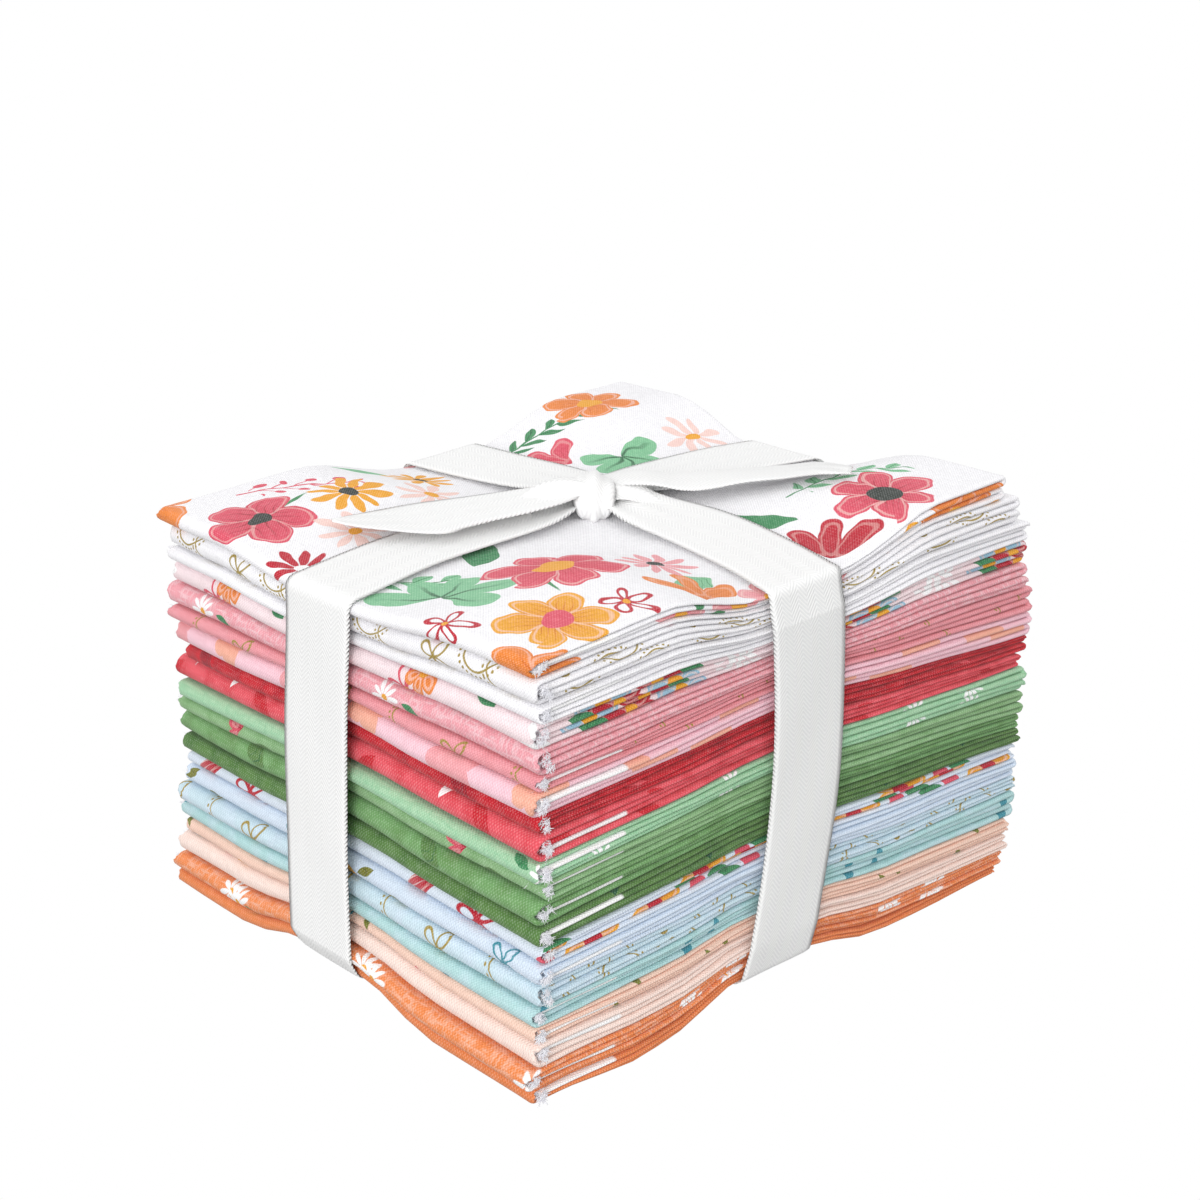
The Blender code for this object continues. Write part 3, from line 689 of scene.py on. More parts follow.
def threads_object(index, points):
    """Loose threads at both free ends of one cloth, where they show: each is a
    thin bent tube of four rings that starts on the cut edge."""
    draw = np.random.default_rng(700 + index)
    row = ROWS[index]
    bare_edges_and_painted_sheen = {"upper": points[-1], "lower": points[0]}
    verts, faces = [], []
    for name, edge in bare_edges_and_painted_sheen.items():
        inward = points[-3 if name == "upper" else 2]
        for side, many in THREADS:
            near = np.flatnonzero(side * edge[:, 1] > np.max(side * edge[:, 1]) - 5.0)
            for pick in draw.choice(near, many if row["selvedge"] == name else many // 2):
                start = edge[pick] + (edge[pick] - inward[pick]) * draw.uniform(-0.9, 0.0)
                start = start + (0.0, 0.5 * side, draw.normal(0.0, 0.2))
                way = draw.normal((-0.8, 0.7 * side, 0.0), (0.4, 0.3, 0.6))
                way = way / np.linalg.norm(way) * draw.uniform(0.4, 1.2)
                bend = draw.normal(0.0, 0.22, 3)
                first = len(verts)
                for i, t in enumerate((0.0, 0.35, 0.7, 1.0)):
                    middle = start + way * t + bend * t * t
                    thick = THREAD_HALF * (1.0 - 0.6 * t)
                    for turn in (0.0, 2.094, 4.189):
                        ring = (0.0, thick * math.cos(turn), thick * math.sin(turn))
                        verts.append((middle + ring) * MM)
                    if i:
                        low = first + 3 * (i - 1)
                        for a, b in ((0, 1), (1, 2), (2, 0)):
                            faces.append((low + a, low + b, low + 3 + b, low + 3 + a))
                faces += [(first + 2, first + 1, first), (first + 9, first + 10, first + 11)]
    mesh = bpy.data.meshes.new(row["node"] + "_threads")
    mesh.from_pydata([tuple(v) for v in verts], [], faces)
    mesh.shade_smooth()
    item = add_object(mesh.name, mesh)
    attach(item, "root")
    return item


def hull(points):
    """Convex outline, anticlockwise."""
    points = sorted(map(tuple, points))
    chains = []
    for ordered in (points, points[::-1]):
        chain = []
        for p in ordered:
            while len(chain) > 1 and left_turn(chain[-2], chain[-1], p) <= 1e-9:
                chain.pop()
            chain.append(p)
        chains.append(chain[:-1])
    return np.array(chains[0] + chains[1])


def left_turn(a, b, c):
    """Above zero where the way from a by b to c turns left."""
    return (b[0] - a[0]) * (c[1] - a[1]) - (b[1] - a[1]) * (c[0] - a[0])


def resampled(outline, step):
    """A closed outline in equal steps."""
    closed = np.concatenate([outline, outline[:1]])
    walk = np.concatenate([[0.0], np.cumsum(np.hypot(*np.diff(closed, axis=0).T))])
    at = np.linspace(0.0, walk[-1], round(walk[-1] / step), endpoint=False)
    return np.stack([np.interp(at, walk, closed[:, i]) for i in (0, 1)], axis=1)


def softened(values, times):
    """A closed run of values averaged with their neighbours."""
    for _ in range(times):
        values = 0.25 * np.roll(values, 1, 0) + 0.5 * values + 0.25 * np.roll(values, -1, 0)
    return values


def outward(outline):
    """Unit normals of a closed anticlockwise outline."""
    ahead = np.roll(outline, -1, 0) - np.roll(outline, 1, 0)
    normals = np.stack([ahead[:, 1], -ahead[:, 0]], axis=1)
    return normals / np.linalg.norm(normals, axis=1)[:, None]


def tape_section(half, thick):
    """Section of the tape: (across, out), a flat ring with rounded edges."""
    across = np.linspace(-1.0, 1.0, 13)
    edge = 1.0 - np.abs(across) ** 14
    outer = np.stack([across * half, thick * (0.5 + 0.5 * edge)], axis=1)
    inner = np.stack([across[::-1] * half, thick * (0.5 - 0.5 * edge)], axis=1)
    return np.concatenate([outer, inner[1:-1]])


def lateral(s, z, reach, top, start, end):
    """Centre line of a loop of tape at a place of its section."""
    if z > TAPE_TOP_FROM and abs(s) < reach:
        return float(along(top, s, 1))
    if z < TAPE_UNDER_TO and abs(s) < reach:
        return float(along(top, s, 2))
    return float(along(start if s < 0 else end, z))


def loop_grid(outline, over, axis, tilt, centre, knot_at):
    """Grid of one loop of tape round the stack, and its place on the tape; it
    passes over the other loop by that much at the knot and beneath."""
    turns = np.linspace(0.0, math.tau, 24, endpoint=False)
    round_off = TAPE_CLEAR * np.stack([np.cos(turns), np.sin(turns)], axis=1)
    outline = resampled(hull((outline[:, None] + round_off).reshape(-1, 2)), TAPE_STEP)
    clear = over * np.exp(-(((outline[:, :1] - knot_at) / KNOT_CLEAR) ** 2))
    outline = outline + softened(clear * outward(outline), 3)
    normals = outward(outline)
    middles = softened(np.array([centre(s, z) for s, z in outline]), 40)
    gathers = np.exp(-(((outline[:, 0] - knot_at) / KNOT_GATHER) ** 2))
    gathers = gathers * (outline[:, 1] > TAPE_TOP_FROM)
    walk = np.concatenate([[0.0], np.cumsum(np.hypot(*np.diff(outline, axis=0).T))])
    points, flat = [], []
    for (s, z), (ns, nz), middle, gather, far in zip(outline, normals, middles, gathers, walk):
        section = tape_section(TAPE_HALF * (1.0 - GATHERED_BY * gather), TAPE_THICK)
        across = section[:, 0] / TAPE_HALF
        pleat = 0.6 * gather * np.cos(across * 10.0 + 0.5) + 1.5 * gather
        wave = 0.09 * np.sin(0.16 * far + 2.2 * across) * (1.0 - gather)
        out = section[:, 1] + pleat + wave
        side = middle + section[:, 0]
        a = s + ns * out
        high = (z + nz * out) * (1.0 + tilt * side)
        points.append(np.stack((side, a, high) if axis else (a, side, high), axis=1))
        flat.append(np.stack([np.full(len(section), far), across * TAPE_HALF], axis=1))
    points.append(points[0])
    flat.append(flat[0] + (walk[-1] + TAPE_STEP, 0.0))
    points, flat = np.array(points), np.array(flat)
    return (points, flat) if axis else (points[:, ::-1], flat[:, ::-1])


def strip_grid(edges, arch=0.0, pleat=0.0, phase=0.0):
    """Grid of a length of tape between two edges: each row of edges is its
    near and far side; arch lifts its middle and pleat gathers it."""
    count = len(edges)
    table = [(i, *near, *far) for i, (near, far) in enumerate(edges)]
    at = np.linspace(0, count - 1, (count - 1) * 7 + 1)
    sides = np.stack([along(table, at, k) for k in range(1, 7)], axis=1)
    near, far = sides[:, :3], sides[:, 3:]
    middle, half = (near + far) / 2, (far - near) / 2
    up = np.cross(np.gradient(middle, axis=0), half)
    up /= np.linalg.norm(up, axis=1)[:, None]
    wide = np.linalg.norm(half, axis=1)
    steps = np.linalg.norm(np.diff(middle, axis=0), axis=1)
    walk = np.concatenate([[0.0], np.cumsum(steps)])
    points, flat = [], []
    for i in range(len(at)):
        section = tape_section(1.0, TAPE_THICK)
        across = section[:, 0]
        raised = arch * (1.0 - across**2) + pleat * np.cos(across * 8.0 + phase + 0.1 * walk[i])
        out = section[:, 1] - TAPE_THICK / 2 + raised
        points.append(middle[i] + across[:, None] * half[i] + out[:, None] * up[i])
        flat.append(np.stack([np.full(len(section), walk[i]), across * wide[i]], axis=1))
    return np.array(points)[:, ::-1], np.array(flat)[:, ::-1]


# The tails, from the knot out: near edge and far edge of the tape
TAIL_LEFT = (
    ((1.0, 4.0, 89.2), (-1.0, 12.5, 88.4)),
    ((-8.0, 1.8, 88.6), (-10.0, 15.2, 88.2)),
    ((-17.0, 2.6, 88.0), (-18.0, 18.8, 87.7)),
    ((-26.4, 4.6, 87.5), (-25.6, 22.2, 87.3)),
    ((-33.0, 5.6, 87.2), (-31.5, 24.6, 87.1)),
    ((-39.1, 6.4, 87.0), (-38.0, 26.0, 87.0)),
    ((-47.4, 17.6, 87.0), (-46.5, 27.2, 87.0)),
    ((-50.6, 26.0, 87.0), (-50.0, 27.6, 87.0)),
)
TAIL_RIGHT = (
    ((2.0, 5.0, 88.6), (5.0, 11.5, 88.2)),
    ((10.5, -1.5, 88.8), (16.0, 8.0, 88.6)),
    ((16.0, -6.4, 87.7), (22.5, 3.8, 87.8)),
    ((20.0, -10.0, 88.0), (29.5, -0.2, 87.7)),
    ((26.0, -14.6, 89.4), (36.6, -3.3, 87.6)),
    ((30.0, -21.2, 91.0), (43.6, -8.8, 88.2)),
    ((32.3, -29.0, 93.4), (44.4, -18.8, 91.2)),
    ((34.6, -36.0, 94.8), (39.8, -32.0, 94.3)),
)

# The bands of the knot: (middle x, y, z, half width) along each
KNOT_BAND = (
    (-1.8, 2.0, 84.8, 3.2),
    (-2.8, 0.9, 86.2, 4.2),
    (-2.2, 1.7, 87.8, 4.6),
    (-0.2, 4.0, 88.9, 4.8),
    (3.6, 8.4, 88.0, 4.6),
    (7.2, 12.2, 84.4, 3.6),
)
KNOT_LEFT = (
    (-12.4, 10.2, 83.8, 2.6),
    (-10.2, 9.4, 86.8, 4.2),
    (-5.6, 7.2, 88.0, 5.0),
    (0.0, 4.0, 86.8, 4.0),
)
KNOT_RIGHT = (
    (0.6, 4.2, 86.2, 3.8),
    (4.8, 2.0, 87.2, 4.6),
    (8.6, -0.8, 86.4, 4.6),
    (11.6, -3.6, 84.2, 4.0),
)
KNOT_BAND_SIDE = (-0.726, 0.688)
KNOT_LOBE_SIDE = (0.62, 0.78)


def edges_of(band, side):
    """Near and far edges of a knot band from its middle and half width."""
    turn = np.array((side[0], side[1], 0.0))
    return [
        (np.array(row[:3]) - row[3] * turn, np.array(row[:3]) + row[3] * turn) for row in band
    ]


def tape_hull(along_axis):
    """Outline of the cloths under one run of tape: along_axis 0 for the run
    left to right, 1 for the run front to back."""
    found = []
    for row in ROWS:
        points, u, v = row["spots"]
        under = np.abs(v if along_axis == 0 else u) <= BAND_AT
        x, y, z = points[under].T
        tilt = TILT_Y if along_axis == 0 else TILT_X
        side, s = (y, x) if along_axis == 0 else (x, y)
        found.append(np.stack([s, z / (1.0 + tilt * side)], axis=1))
    return hull(np.concatenate(found))


def make_ribbon():
    """Two loops, two tails and the knot, all of the one tape."""

    def side_centre(s, z):
        return lateral(s, z, 68.0, RUN_SIDE, TAPE_LEFT, TAPE_RIGHT)

    def back_centre(s, z):
        return lateral(s, z, 55.0, RUN_BACK, TAPE_FRONT, TAPE_REAR)

    grids = [
        loop_grid(tape_hull(0), 0.0, 0, TILT_Y, side_centre, 3.0),
        loop_grid(tape_hull(1), 0.55, 1, TILT_X, back_centre, 8.0),
        strip_grid(TAIL_LEFT),
        strip_grid(TAIL_RIGHT, arch=0.5),
        strip_grid(edges_of(KNOT_BAND, KNOT_BAND_SIDE), 2.5, 0.5),
        strip_grid(edges_of(KNOT_LEFT, KNOT_LOBE_SIDE), 3.0, 0.5, 1.0),
        strip_grid(edges_of(KNOT_RIGHT, KNOT_LOBE_SIDE), 1.8, 0.4, 2.0),
    ]
    grids = [(points + CENTRED_BY, flat) for points, flat in grids]
    tape = grid_object("ribbon_tape", grids, ring=True)
    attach(tape, "root")
    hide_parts("ribbon")
    return tape


def linear(code):
    """An sRGB hex colour turned linear, with full opacity."""
    parts = [int(code[i : i + 2], 16) / 255 for i in (1, 3, 5)]
    return (*[c / 12.92 if c <= 0.04045 else ((c + 0.055) / 1.055) ** 2.4 for c in parts], 1.0)


def node(tree, kind, inputs=(), out=0, **settings):
    """Adds a node with its settings, fills its inputs in order or by name with
    values or links, and gives the wanted output."""
    made = tree.nodes.new("ShaderNode" + kind)
    for key, value in settings.items():
        setattr(made, key, value)
    named = inputs.items() if isinstance(inputs, dict) else enumerate(inputs)
    for key, value in named:
        if isinstance(value, bpy.types.NodeSocket):
            tree.links.new(value, made.inputs[key])
        elif value is not None:
            made.inputs[key].default_value = value
    return made.outputs[out] if made.outputs else made


def maths(tree):
    """A short way to add a math node to this tree."""

    def calc(operation, *values):
        return node(tree, "Math", values, operation=operation)

    return calc


def mix(tree, part, first, second):
    """The first colour with a part of the second over it."""
    return node(tree, "Mix", {0: part, 6: first, 7: second}, 2, data_type="RGBA")


def new_material(name):
    """An empty material and its nodes."""
    material = bpy.data.materials.new(name)
    material.use_nodes = True
    material.node_tree.nodes.clear()
    return material, material.node_tree


def cotton(tree, colour, rough, height, deep, shine, sheen, more=()):
    """Matt cotton: its colour, roughness and the height of its threads, how
    deep that is in metres, how much it shines, and its sheen and the sheen's
    roughness."""
    bump = node(tree, "Bump", {"Height": height, "Distance": deep, "Strength": 1.0})
    surface = {"Base Color": colour, "Roughness": rough, "Normal": bump}
    surface |= {"Specular IOR Level": shine, "Sheen Weight": sheen[0]}
    surface |= {"Sheen Roughness": sheen[1]} | dict(more)
    return node(tree, "BsdfPrincipled", surface)


def new_group(name, inputs, outputs):
    """An empty node group; inputs and outputs are {name: first value}, and the
    kind of socket follows from the value."""
    tree = bpy.data.node_groups.new(name, "ShaderNodeTree")
    kinds = {float: "NodeSocketFloat", int: "NodeSocketFloat", str: "NodeSocketColor"}
    for direction, sockets in (("INPUT", inputs), ("OUTPUT", outputs)):
        for title, value in sockets.items():
            kind = kinds.get(type(value), "NodeSocketVector")
            made = tree.interface.new_socket(title, in_out=direction, socket_type=kind)
            if direction == "INPUT":
                made.default_value = linear(value) if isinstance(value, str) else value
    start = tree.nodes.new("NodeGroupInput")
    end = tree.nodes.new("NodeGroupOutput")
    return tree, start.outputs, end.inputs


MOTIF_INPUTS = {
    "Ground": "#FFFFFF",
    "Point": (0.0, 0.0, 0.0),
    "Place": (0.0, 0.0, 0.0),
    "Half": (50.0, 50.0, 50.0),
    "Turn": 0.0,
    "Size": 10.0,
    "Ink": "#FFFFFF",
    "Shade": "#FFFFFF",
    "Heart": "#FFFFFF",
    "Line": 0.3,
}


def local_point(tree, given):
    """The point as the motif sees it: from its nearest repeat, and turned."""
    low = node(tree, "VectorMath", {0: given["Half"], 3: -1.0}, operation="SCALE")
    apart = node(tree, "VectorMath", (given["Point"], given["Place"]), operation="SUBTRACT")
    wrapped = node(tree, "VectorMath", (apart, given["Half"], low), operation="WRAP")
    turned = node(
        tree, "VectorRotate", {"Vector": wrapped, "Angle": given["Turn"]}, rotation_type="Z_AXIS"
    )
    parts = node(tree, "SeparateXYZ", (turned,)).node.outputs
    far = node(tree, "VectorMath", (turned,), out=1, operation="LENGTH")
    return parts[0], parts[1], far


def covered(tree, edge, soft=0.07):
    """One where edge, in millimetres, is above zero, with a soft border."""
    return node(tree, "MapRange", (edge, -soft, soft, 0.0, 1.0))


def petals_group():
    """A motif of one or more petals round a point, filled or drawn in line."""
    more = dict(Count=6.0, Width=0.3, Inner=0.0, Taper=0.0, Fan=1.01, Core=0.0)
    more |= dict(Pointed=0.0, Hollow=0.0, Veins=0.0, Slant=0.0, Rib=1.5, Rim=0.0)
    tree, given, result = new_group("petals", MOTIF_INPUTS | more, {"Colour": "#FFFFFF"})
    calc = maths(tree)
    x, y, far = local_point(tree, given)
    angle = calc("ARCTAN2", y, x)
    half_turn = calc("DIVIDE", math.pi, given["Count"])
    shown = calc("LESS_THAN", calc("ABSOLUTE", angle), calc("MULTIPLY", given["Fan"], math.pi))
    near = calc("WRAP", angle, half_turn, calc("MULTIPLY", half_turn, -1.0))
    which = calc("ROUND", calc("DIVIDE", calc("SUBTRACT", angle, near), half_turn))
    vary = calc("MULTIPLY_ADD", calc("SINE", calc("MULTIPLY", which, 1.9)), 0.06, 0.96)
    size = calc("MULTIPLY", given["Size"], vary)
    out = calc("MULTIPLY", far, calc("COSINE", near))
    side = calc("ABSOLUTE", calc("MULTIPLY", far, calc("SINE", near)))
    share_out = calc("DIVIDE", out, size)
    middle = calc("MULTIPLY_ADD", given["Inner"], 0.5, 0.5)
    reach = calc("MULTIPLY_ADD", given["Inner"], -0.5, 0.5)
    u = calc("DIVIDE", calc("SUBTRACT", share_out, middle), reach)
    u2 = calc("MULTIPLY", u, u)
    thin = calc("SUBTRACT", 1.0, given["Taper"])
    grow = calc("MULTIPLY_ADD", given["Taper"], share_out, thin)
    half = calc("MULTIPLY", calc("MULTIPLY", size, given["Width"]), grow)
    half = calc("MAXIMUM", half, 0.01)
    v = calc("DIVIDE", side, half)
    round_edge = calc("SUBTRACT", 1.0, calc("SQRT", calc("MULTIPLY_ADD", v, v, u2)))
    point_edge = calc("SUBTRACT", calc("SUBTRACT", 1.0, u2), v)
    edge = node(tree, "Mix", (given["Pointed"], None, round_edge, point_edge))
    edge = calc("MULTIPLY", edge, half)
    filled = covered(tree, edge)
    line = covered(tree, calc("SUBTRACT", given["Line"], calc("ABSOLUTE", edge)))
    mask = node(tree, "Mix", (given["Hollow"], None, filled, line))
    mask = calc("MULTIPLY", mask, shown)
    lean = calc("MULTIPLY_ADD", out, calc("MULTIPLY", given["Slant"], -1.0), side)
    wave = calc("COSINE", calc("MULTIPLY", calc("DIVIDE", lean, given["Rib"]), math.tau))
    rib = node(tree, "MapRange", (wave, 0.72, 0.98, 0.0, 1.0))
    fade = node(tree, "MapRange", (share_out, 0.25, 0.92, 1.0, 0.0))
    rib = calc("MULTIPLY", calc("MULTIPLY", rib, fade), given["Veins"])
    base = node(tree, "MapRange", (share_out, 0.2, 0.75, 0.45, 0.0))
    rib = calc("MAXIMUM", rib, calc("MULTIPLY", base, given["Rim"]))
    ink = mix(tree, rib, given["Ink"], given["Shade"])
    rim = covered(tree, calc("SUBTRACT", 0.22, calc("ABSOLUTE", calc("SUBTRACT", edge, 0.75))))
    rim = calc("MULTIPLY", rim, given["Rim"])
    ink = mix(tree, rim, ink, linear(INKS["blush"]))
    core = calc("SUBTRACT", calc("MULTIPLY", given["Size"], given["Core"]), far)
    core = covered(tree, core)
    colour = mix(tree, core, ink, given["Heart"])
    mask = calc("MAXIMUM", mask, core)
    colour = mix(tree, mask, given["Ground"], colour)
    tree.links.new(colour, result["Colour"])
    return tree


def spray_group():
    """A bent stem with leaves to both sides, or berries in place of them."""
    more = dict(Berry=0.0, Bend=0.012)
    tree, given, result = new_group("spray", MOTIF_INPUTS | more, {"Colour": "#FFFFFF"})
    calc = maths(tree)
    x, y, _ = local_point(tree, given)
    y = calc("MULTIPLY_ADD", calc("MULTIPLY", x, x), given["Bend"], y)
    pitch, leaf, lean = 5.4, 6.2, math.radians(42)
    level, steep = math.cos(lean), math.sin(lean)
    stagger = calc("MULTIPLY_ADD", calc("SIGN", y), pitch / 4, x)
    along_cell = calc("WRAP", stagger, pitch * 0.88, pitch * -0.12)
    side = calc("ABSOLUTE", y)
    out = calc("MULTIPLY_ADD", along_cell, level, calc("MULTIPLY", side, steep))
    over = calc("MULTIPLY", side, level)
    off = calc("ABSOLUTE", calc("MULTIPLY_ADD", along_cell, -steep, over))
    u = calc("SUBTRACT", calc("DIVIDE", out, leaf / 2), 1.0)
    bow = calc("SUBTRACT", 1.0, calc("MULTIPLY", u, u))
    leaf_edge = calc("MULTIPLY_ADD", bow, 1.15, calc("MULTIPLY", off, -1.0))
    from_tip = calc("SUBTRACT", out, leaf * 0.8)
    span = calc("MULTIPLY_ADD", from_tip, from_tip, calc("MULTIPLY", off, off))
    berry_edge = calc("SUBTRACT", 1.15, calc("SQRT", span))
    stalk = calc("MINIMUM", calc("SUBTRACT", 0.2, off), calc("SUBTRACT", leaf * 0.8, out))
    stalk = calc("MINIMUM", stalk, out)
    berry_edge = calc("MAXIMUM", berry_edge, stalk)
    edge = node(tree, "Mix", (given["Berry"], None, leaf_edge, berry_edge))
    edge = calc("MINIMUM", edge, calc("SUBTRACT", given["Size"], x))
    edge = calc("MINIMUM", edge, x)
    mask = covered(tree, edge)
    vein = covered(tree, calc("SUBTRACT", 0.12, off))
    vein = calc("MULTIPLY", vein, calc("SUBTRACT", 1.0, given["Berry"]))
    ink = mix(tree, vein, given["Ink"], given["Shade"])
    stem = calc("MINIMUM", calc("SUBTRACT", given["Line"], side), calc("ADD", x, 4.0))
    stem = calc("MINIMUM", stem, calc("SUBTRACT", given["Size"], x))
    stem = covered(tree, stem)
    colour = mix(tree, stem, ink, given["Heart"])
    mask = calc("MAXIMUM", mask, stem)
    colour = mix(tree, mask, given["Ground"], colour)
    tree.links.new(colour, result["Colour"])
    return tree


def arc_group():
    """A thin arc with a row of dots along its outside."""
    tree, given, result = new_group("arc", MOTIF_INPUTS, {"Colour": "#FFFFFF"})
    calc = maths(tree)
    x, y, far = local_point(tree, given)
    angle = calc("ARCTAN2", y, x)
    shown = calc("SUBTRACT", 1.45, calc("ABSOLUTE", angle))
    off = calc("ABSOLUTE", calc("SUBTRACT", far, given["Size"]))
    line = calc("SUBTRACT", 0.19, off)
    beyond = calc("SUBTRACT", calc("SUBTRACT", far, given["Size"]), 0.95)
    step = calc("MULTIPLY", calc("WRAP", angle, 0.1, -0.1), given["Size"])
    span = calc("MULTIPLY_ADD", beyond, beyond, calc("MULTIPLY", step, step))
    dots = calc("SUBTRACT", 0.26, calc("SQRT", span))
    mask = covered(tree, calc("MINIMUM", calc("MAXIMUM", line, dots), shown))
    colour = mix(tree, mask, given["Ground"], given["Ink"])
    tree.links.new(colour, result["Colour"])
    return tree


def weave_group():
    """Plain weave: threads over and under each other both ways. Quilting
    cotton has about 2.8 threads to the millimetre, and each repeat of the
    weave takes two of them, so the pitch is its real one."""
    first = {"Point": (0.0, 0.0, 0.0), "Pitch": 0.7}
    tree, given, result = new_group("plain_weave", first, {"Height": 0.0, "Tone": 1.0})
    calc = maths(tree)
    steps = calc("DIVIDE", math.tau, given["Pitch"])
    angles = node(tree, "VectorMath", {0: given["Point"], 3: steps}, operation="SCALE")
    waves = node(tree, "VectorMath", (angles,), operation="SINE")
    parts = node(tree, "SeparateXYZ", (waves,)).node.outputs
    over = calc("MULTIPLY", parts[0], parts[1])
    slubs = []
    for stretch in ((0.35, 2.6, 0.0), (2.6, 0.35, 7.0)):
        at = node(tree, "VectorMath", (given["Point"], stretch), operation="MULTIPLY")
        slubs.append(node(tree, "TexNoise", {"Vector": at, "Scale": 1.0, "Detail": 2.0}))
    height = calc("MULTIPLY_ADD", over, 0.5, calc("ADD", *slubs))
    tree.links.new(height, result["Height"])
    tone = node(tree, "MapRange", (height, 0.45, 1.55, 0.84, 1.06))
    tree.links.new(tone, result["Tone"])
    return tree


def ground_colour(tree, kind, point, first, second):
    """The colour that a print's motifs lie on."""
    if kind == "plain":
        wide = node(tree, "TexNoise", {"Vector": point, "Scale": 0.08, "Detail": 1.0})
        mask = node(tree, "MapRange", (wide, 0.3, 0.7, 0.0, 0.12))
    elif kind == "tonal":
        blot = node(tree, "TexNoise", {"Vector": point, "Scale": 0.17, "Detail": 4.0})
        mask = node(tree, "MapRange", (blot, 0.45, 0.62, 0.0, 0.5))
    else:
        strokes = []
        for stretch in ((0.30, 1.7, 0.0), (1.5, 0.26, 9.0)):
            at = node(tree, "VectorMath", (point, stretch), operation="MULTIPLY")
            mark = node(tree, "TexNoise", {"Vector": at, "Scale": 1.0, "Detail": 1.0})
            strokes.append(node(tree, "MapRange", (mark, 0.50, 0.66, 0.0, 0.42)))
        mask = maths(tree)("MAXIMUM", *strokes)
    return mix(tree, mask, linear(INKS[first]), linear(INKS[second]))


def cloth_material(row, groups):
    """Quilting cotton, printed and plain woven: matt ink on a fine even weave
    that breaks the light a little, with a painted sheen that whitens the tops
    of the weave a little, and one end has a white selvedge."""
    first, kind, second, tile, motifs = PRINTS[row["node"]]
    material, tree = new_material(row["node"] + "_cotton")
    cut = node(tree, "UVMap", uv_map="cut")
    origin = (TOP_ORIGIN if motifs is TOP_PRINT else FOLD_ORIGIN) + (0.0,)
    point = node(tree, "VectorMath", (cut, (-1.0, -1.0, 0.0), origin), operation="MULTIPLY_ADD")
    shake = node(tree, "TexNoise", {"Vector": point, "Scale": 0.13, "Detail": 1.0}, 1)
    drift = 5.0 if motifs is TOP_PRINT else 1.8
    drawn = node(tree, "VectorMath", (shake, (drift, drift, 0.0), point), operation="MULTIPLY_ADD")
    colour = ground_colour(tree, kind, point, first, second)
    for motif, x, y, turn, size, *inks in motifs:
        ink, shade, heart = (linear(INKS[name]) for name in (inks * 3)[:3])
        group = {"spray": "spray", "berry": "spray", "arc": "arc"}.get(motif, "petals")
        values = STYLES.get(motif, {}) | {
            "Ground": colour,
            "Point": drawn,
            "Place": (x + drift / 2, y + drift / 2, 0.0),
            "Half": (tile[0] / 2, tile[1] / 2, 50.0),
            "Turn": -math.radians(turn),
            "Size": size,
            "Ink": ink,
            "Shade": shade,
            "Heart": heart,
        }
        if motif == "berry":
            values["Berry"] = 1.0
        colour = node(tree, "Group", values, node_tree=groups[group])
    if row["selvedge"]:
        p = node(tree, "SeparateXYZ", (cut,))
        mask = node(tree, "MapRange", (p, SELVEDGE - 0.4, SELVEDGE + 0.2, 1.0, 0.0))
        colour = mix(tree, mask, colour, linear(INKS["snow"]))
    weave = node(tree, "Group", {"Point": cut}, node_tree=groups["weave"]).node.outputs
    tinted = node(tree, "VectorMath", {0: colour, 3: weave["Tone"]}, operation="SCALE")
    # Painted sheen: where the weave stands highest its colour is mixed a little towards white
    bare_edges_and_painted_sheen = node(tree, "MapRange", (weave["Height"], 1.0, 1.6, 0.0, 0.16))
    tinted = mix(tree, bare_edges_and_painted_sheen, tinted, linear(INKS["snow"]))
    rough = node(tree, "MapRange", (weave["Height"], 0.4, 1.6, 0.95, 0.78))
    shader = cotton(tree, tinted, rough, weave["Height"], 0.00009, 0.25, (0.12, 0.5))
    node(tree, "OutputMaterial", (shader,))
    return material


def tape_material():
    """White cotton twill tape: a dense woven band whose slanting ribs turn
    back in rows, like herringbone, with a firmer woven edge at each side."""
    material, tree = new_material("twill_tape")
    cut = node(tree, "UVMap", uv_map="cut")
    parts = node(tree, "SeparateXYZ", (cut,)).node.outputs
    calc = maths(tree)
    slant = calc("MULTIPLY_ADD", calc("PINGPONG", parts[1], ROW_WIDE), 1.1, parts[0])
    ribs = calc("SINE", calc("MULTIPLY", slant, math.tau / RIB_PITCH))
    fine = node(tree, "TexNoise", {"Vector": cut, "Scale": 2.4, "Detail": 3.0})
    height = calc("MULTIPLY_ADD", fine, 1.3, ribs)
    edge = node(tree, "MapRange", (calc("ABSOLUTE", parts[1]), 8.5, 8.9, 0.0, 0.9))
    height = calc("ADD", height, edge)
    tone = node(tree, "MapRange", (height, -0.6, 1.9, 0.0, 1.0))
    colour = mix(tree, tone, linear("#E9E9E9"), linear("#F9F9F8"))
    rough = node(tree, "MapRange", (height, -0.5, 1.8, 0.92, 0.74))
    shader = cotton(tree, colour, rough, height, 0.000035, 0.3, (0.15, 0.4))
    node(tree, "OutputMaterial", (shader,))
    return material


def thread_material():
    """Loose cotton threads at a cut edge: fine and matt. Light passes through
    them and from one to the next, so that a tuft looks soft and white; the
    faint glow stands for the light that goes on between them."""
    material, tree = new_material("loose_cotton_thread")
    place_at = node(tree, "TexCoord", out=3)
    fine = node(tree, "TexNoise", {"Vector": place_at, "Scale": 900.0, "Detail": 2.0})
    colour = mix(tree, fine, linear("#F8F8FC"), linear("#FFFFFF"))
    faint = {"Emission Color": linear("#F4F4FA"), "Emission Strength": 0.22}
    shader = cotton(tree, colour, 0.9, fine, 0.00003, 0.2, (0.3, 0.5), faint)
    glow = node(tree, "BsdfTranslucent", {"Color": colour})
    mixed = node(tree, "MixShader", (0.5, shader, glow))
    node(tree, "OutputMaterial", (mixed,))
    return material


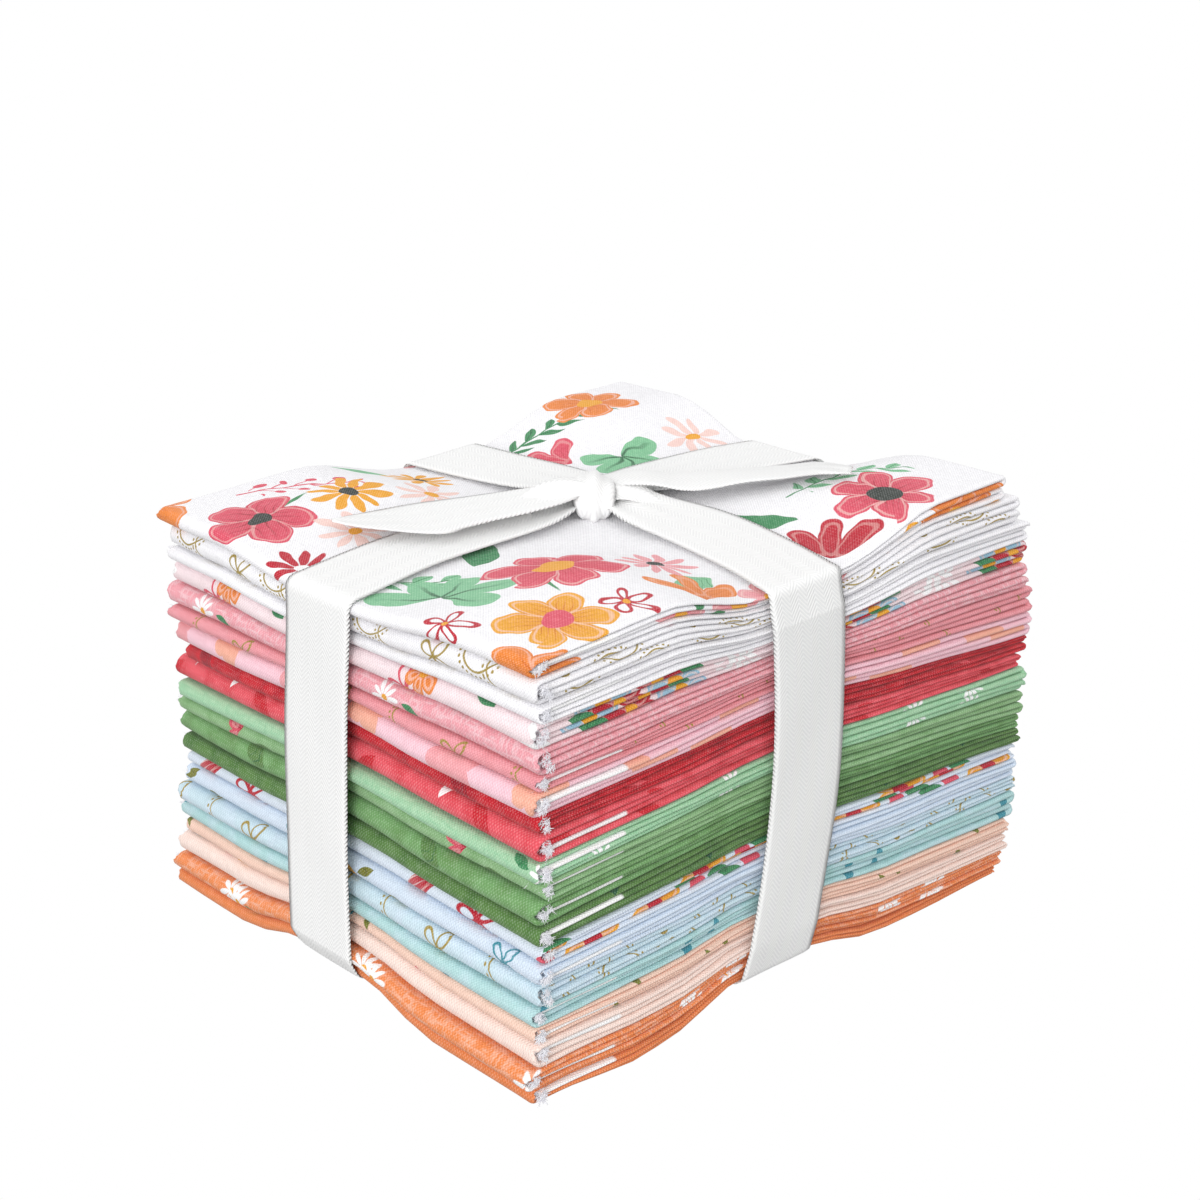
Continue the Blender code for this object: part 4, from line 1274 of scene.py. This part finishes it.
def dress(cloths, threads, tape):
    """Gives every piece its material."""
    groups = {
        "petals": petals_group(),
        "spray": spray_group(),
        "arc": arc_group(),
        "weave": weave_group(),
    }
    for row, cloth in zip(ROWS, cloths):
        cloth.data.materials.append(cloth_material(row, groups))
    loose = thread_material()
    for item in threads:
        item.data.materials.append(loose)
    tape.data.materials.append(tape_material())


def make_pieces():
    """Every cloth with its threads, and the tape, as the frame's own pieces."""
    cloths, threads = [], []
    for index, row in enumerate(ROWS):
        points, flat = sheet_points(index)
        cloth = grid_object(row["node"] + "_sheet", [(points, flat)])
        threads.append(threads_object(index, points))
        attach(cloth, "root")
        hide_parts(row["node"])
        cloths.append(cloth)
    return cloths, threads, make_ribbon()


def make_camera():
    """The camera, where the photograph was taken from."""
    data = bpy.data.cameras.new("camera")
    data.lens = CAMERA_LENS
    data.dof.use_dof = False
    camera = add_object("camera", data)
    yaw, pitch, roll = (math.radians(a) for a in (CAMERA_YAW, CAMERA_PITCH, CAMERA_ROLL))
    level = math.cos(pitch)
    look = Vector((level * math.sin(yaw), level * math.cos(yaw), -math.sin(pitch)))
    turn = look.to_track_quat("-Z", "Y").to_matrix().to_4x4()
    place_at = Matrix.Translation(Vector(CAMERA_AT) * MM)
    camera.matrix_world = place_at @ turn @ Matrix.Rotation(roll, 4, "Z")
    bpy.context.scene.camera = camera


def make_lamp(name, place_at, size, power):
    """A large soft lamp that looks at the middle of the bundle."""
    data = bpy.data.lights.new(name, "AREA")
    data.shape = "DISK"
    data.size = size
    data.energy = power
    lamp = add_object(name, data)
    lamp.location = place_at
    toward = Vector((0.0, 0.0, 0.045)) - Vector(place_at)
    lamp.rotation_euler = toward.to_track_quat("-Z", "Y").to_euler()


def make_stage():
    """A studio that is brighter overhead, and a white floor that throws no
    light back."""
    world = bpy.data.worlds.new("studio")
    world.use_nodes = True
    tree = world.node_tree
    tree.nodes.clear()
    way = node(tree, "TexCoord")
    up = node(tree, "SeparateXYZ", (way,), 2)
    soft = node(tree, "MapRange", (up, -0.35, 0.5, 0.36, 0.98))
    sky = node(tree, "Background", {"Color": soft, "Strength": 1.0})
    node(tree, "OutputWorld", (sky,))
    bpy.context.scene.world = world
    mesh = bpy.data.meshes.new("floor")
    corners = [(-30, -30, 0), (30, -30, 0), (30, 30, 0), (-30, 30, 0)]
    mesh.from_pydata(corners, [], [(0, 1, 2, 3)])
    white, nodes = new_material("white_floor")
    glow = node(nodes, "Emission", (linear("#FFFFFF"), 1.0))
    node(nodes, "OutputMaterial", (glow,))
    mesh.materials.append(white)
    floor = add_object("floor", mesh)
    floor.visible_diffuse = False
    floor.visible_glossy = False
    floor.visible_shadow = False
    bpy.context.scene.view_settings.view_transform = "Standard"


cloths, threads, tape = make_pieces()
dress(cloths, threads, tape)
make_camera()
make_stage()
make_lamp("key", (-1.0, -0.6, 0.44), 0.6, 7.4)
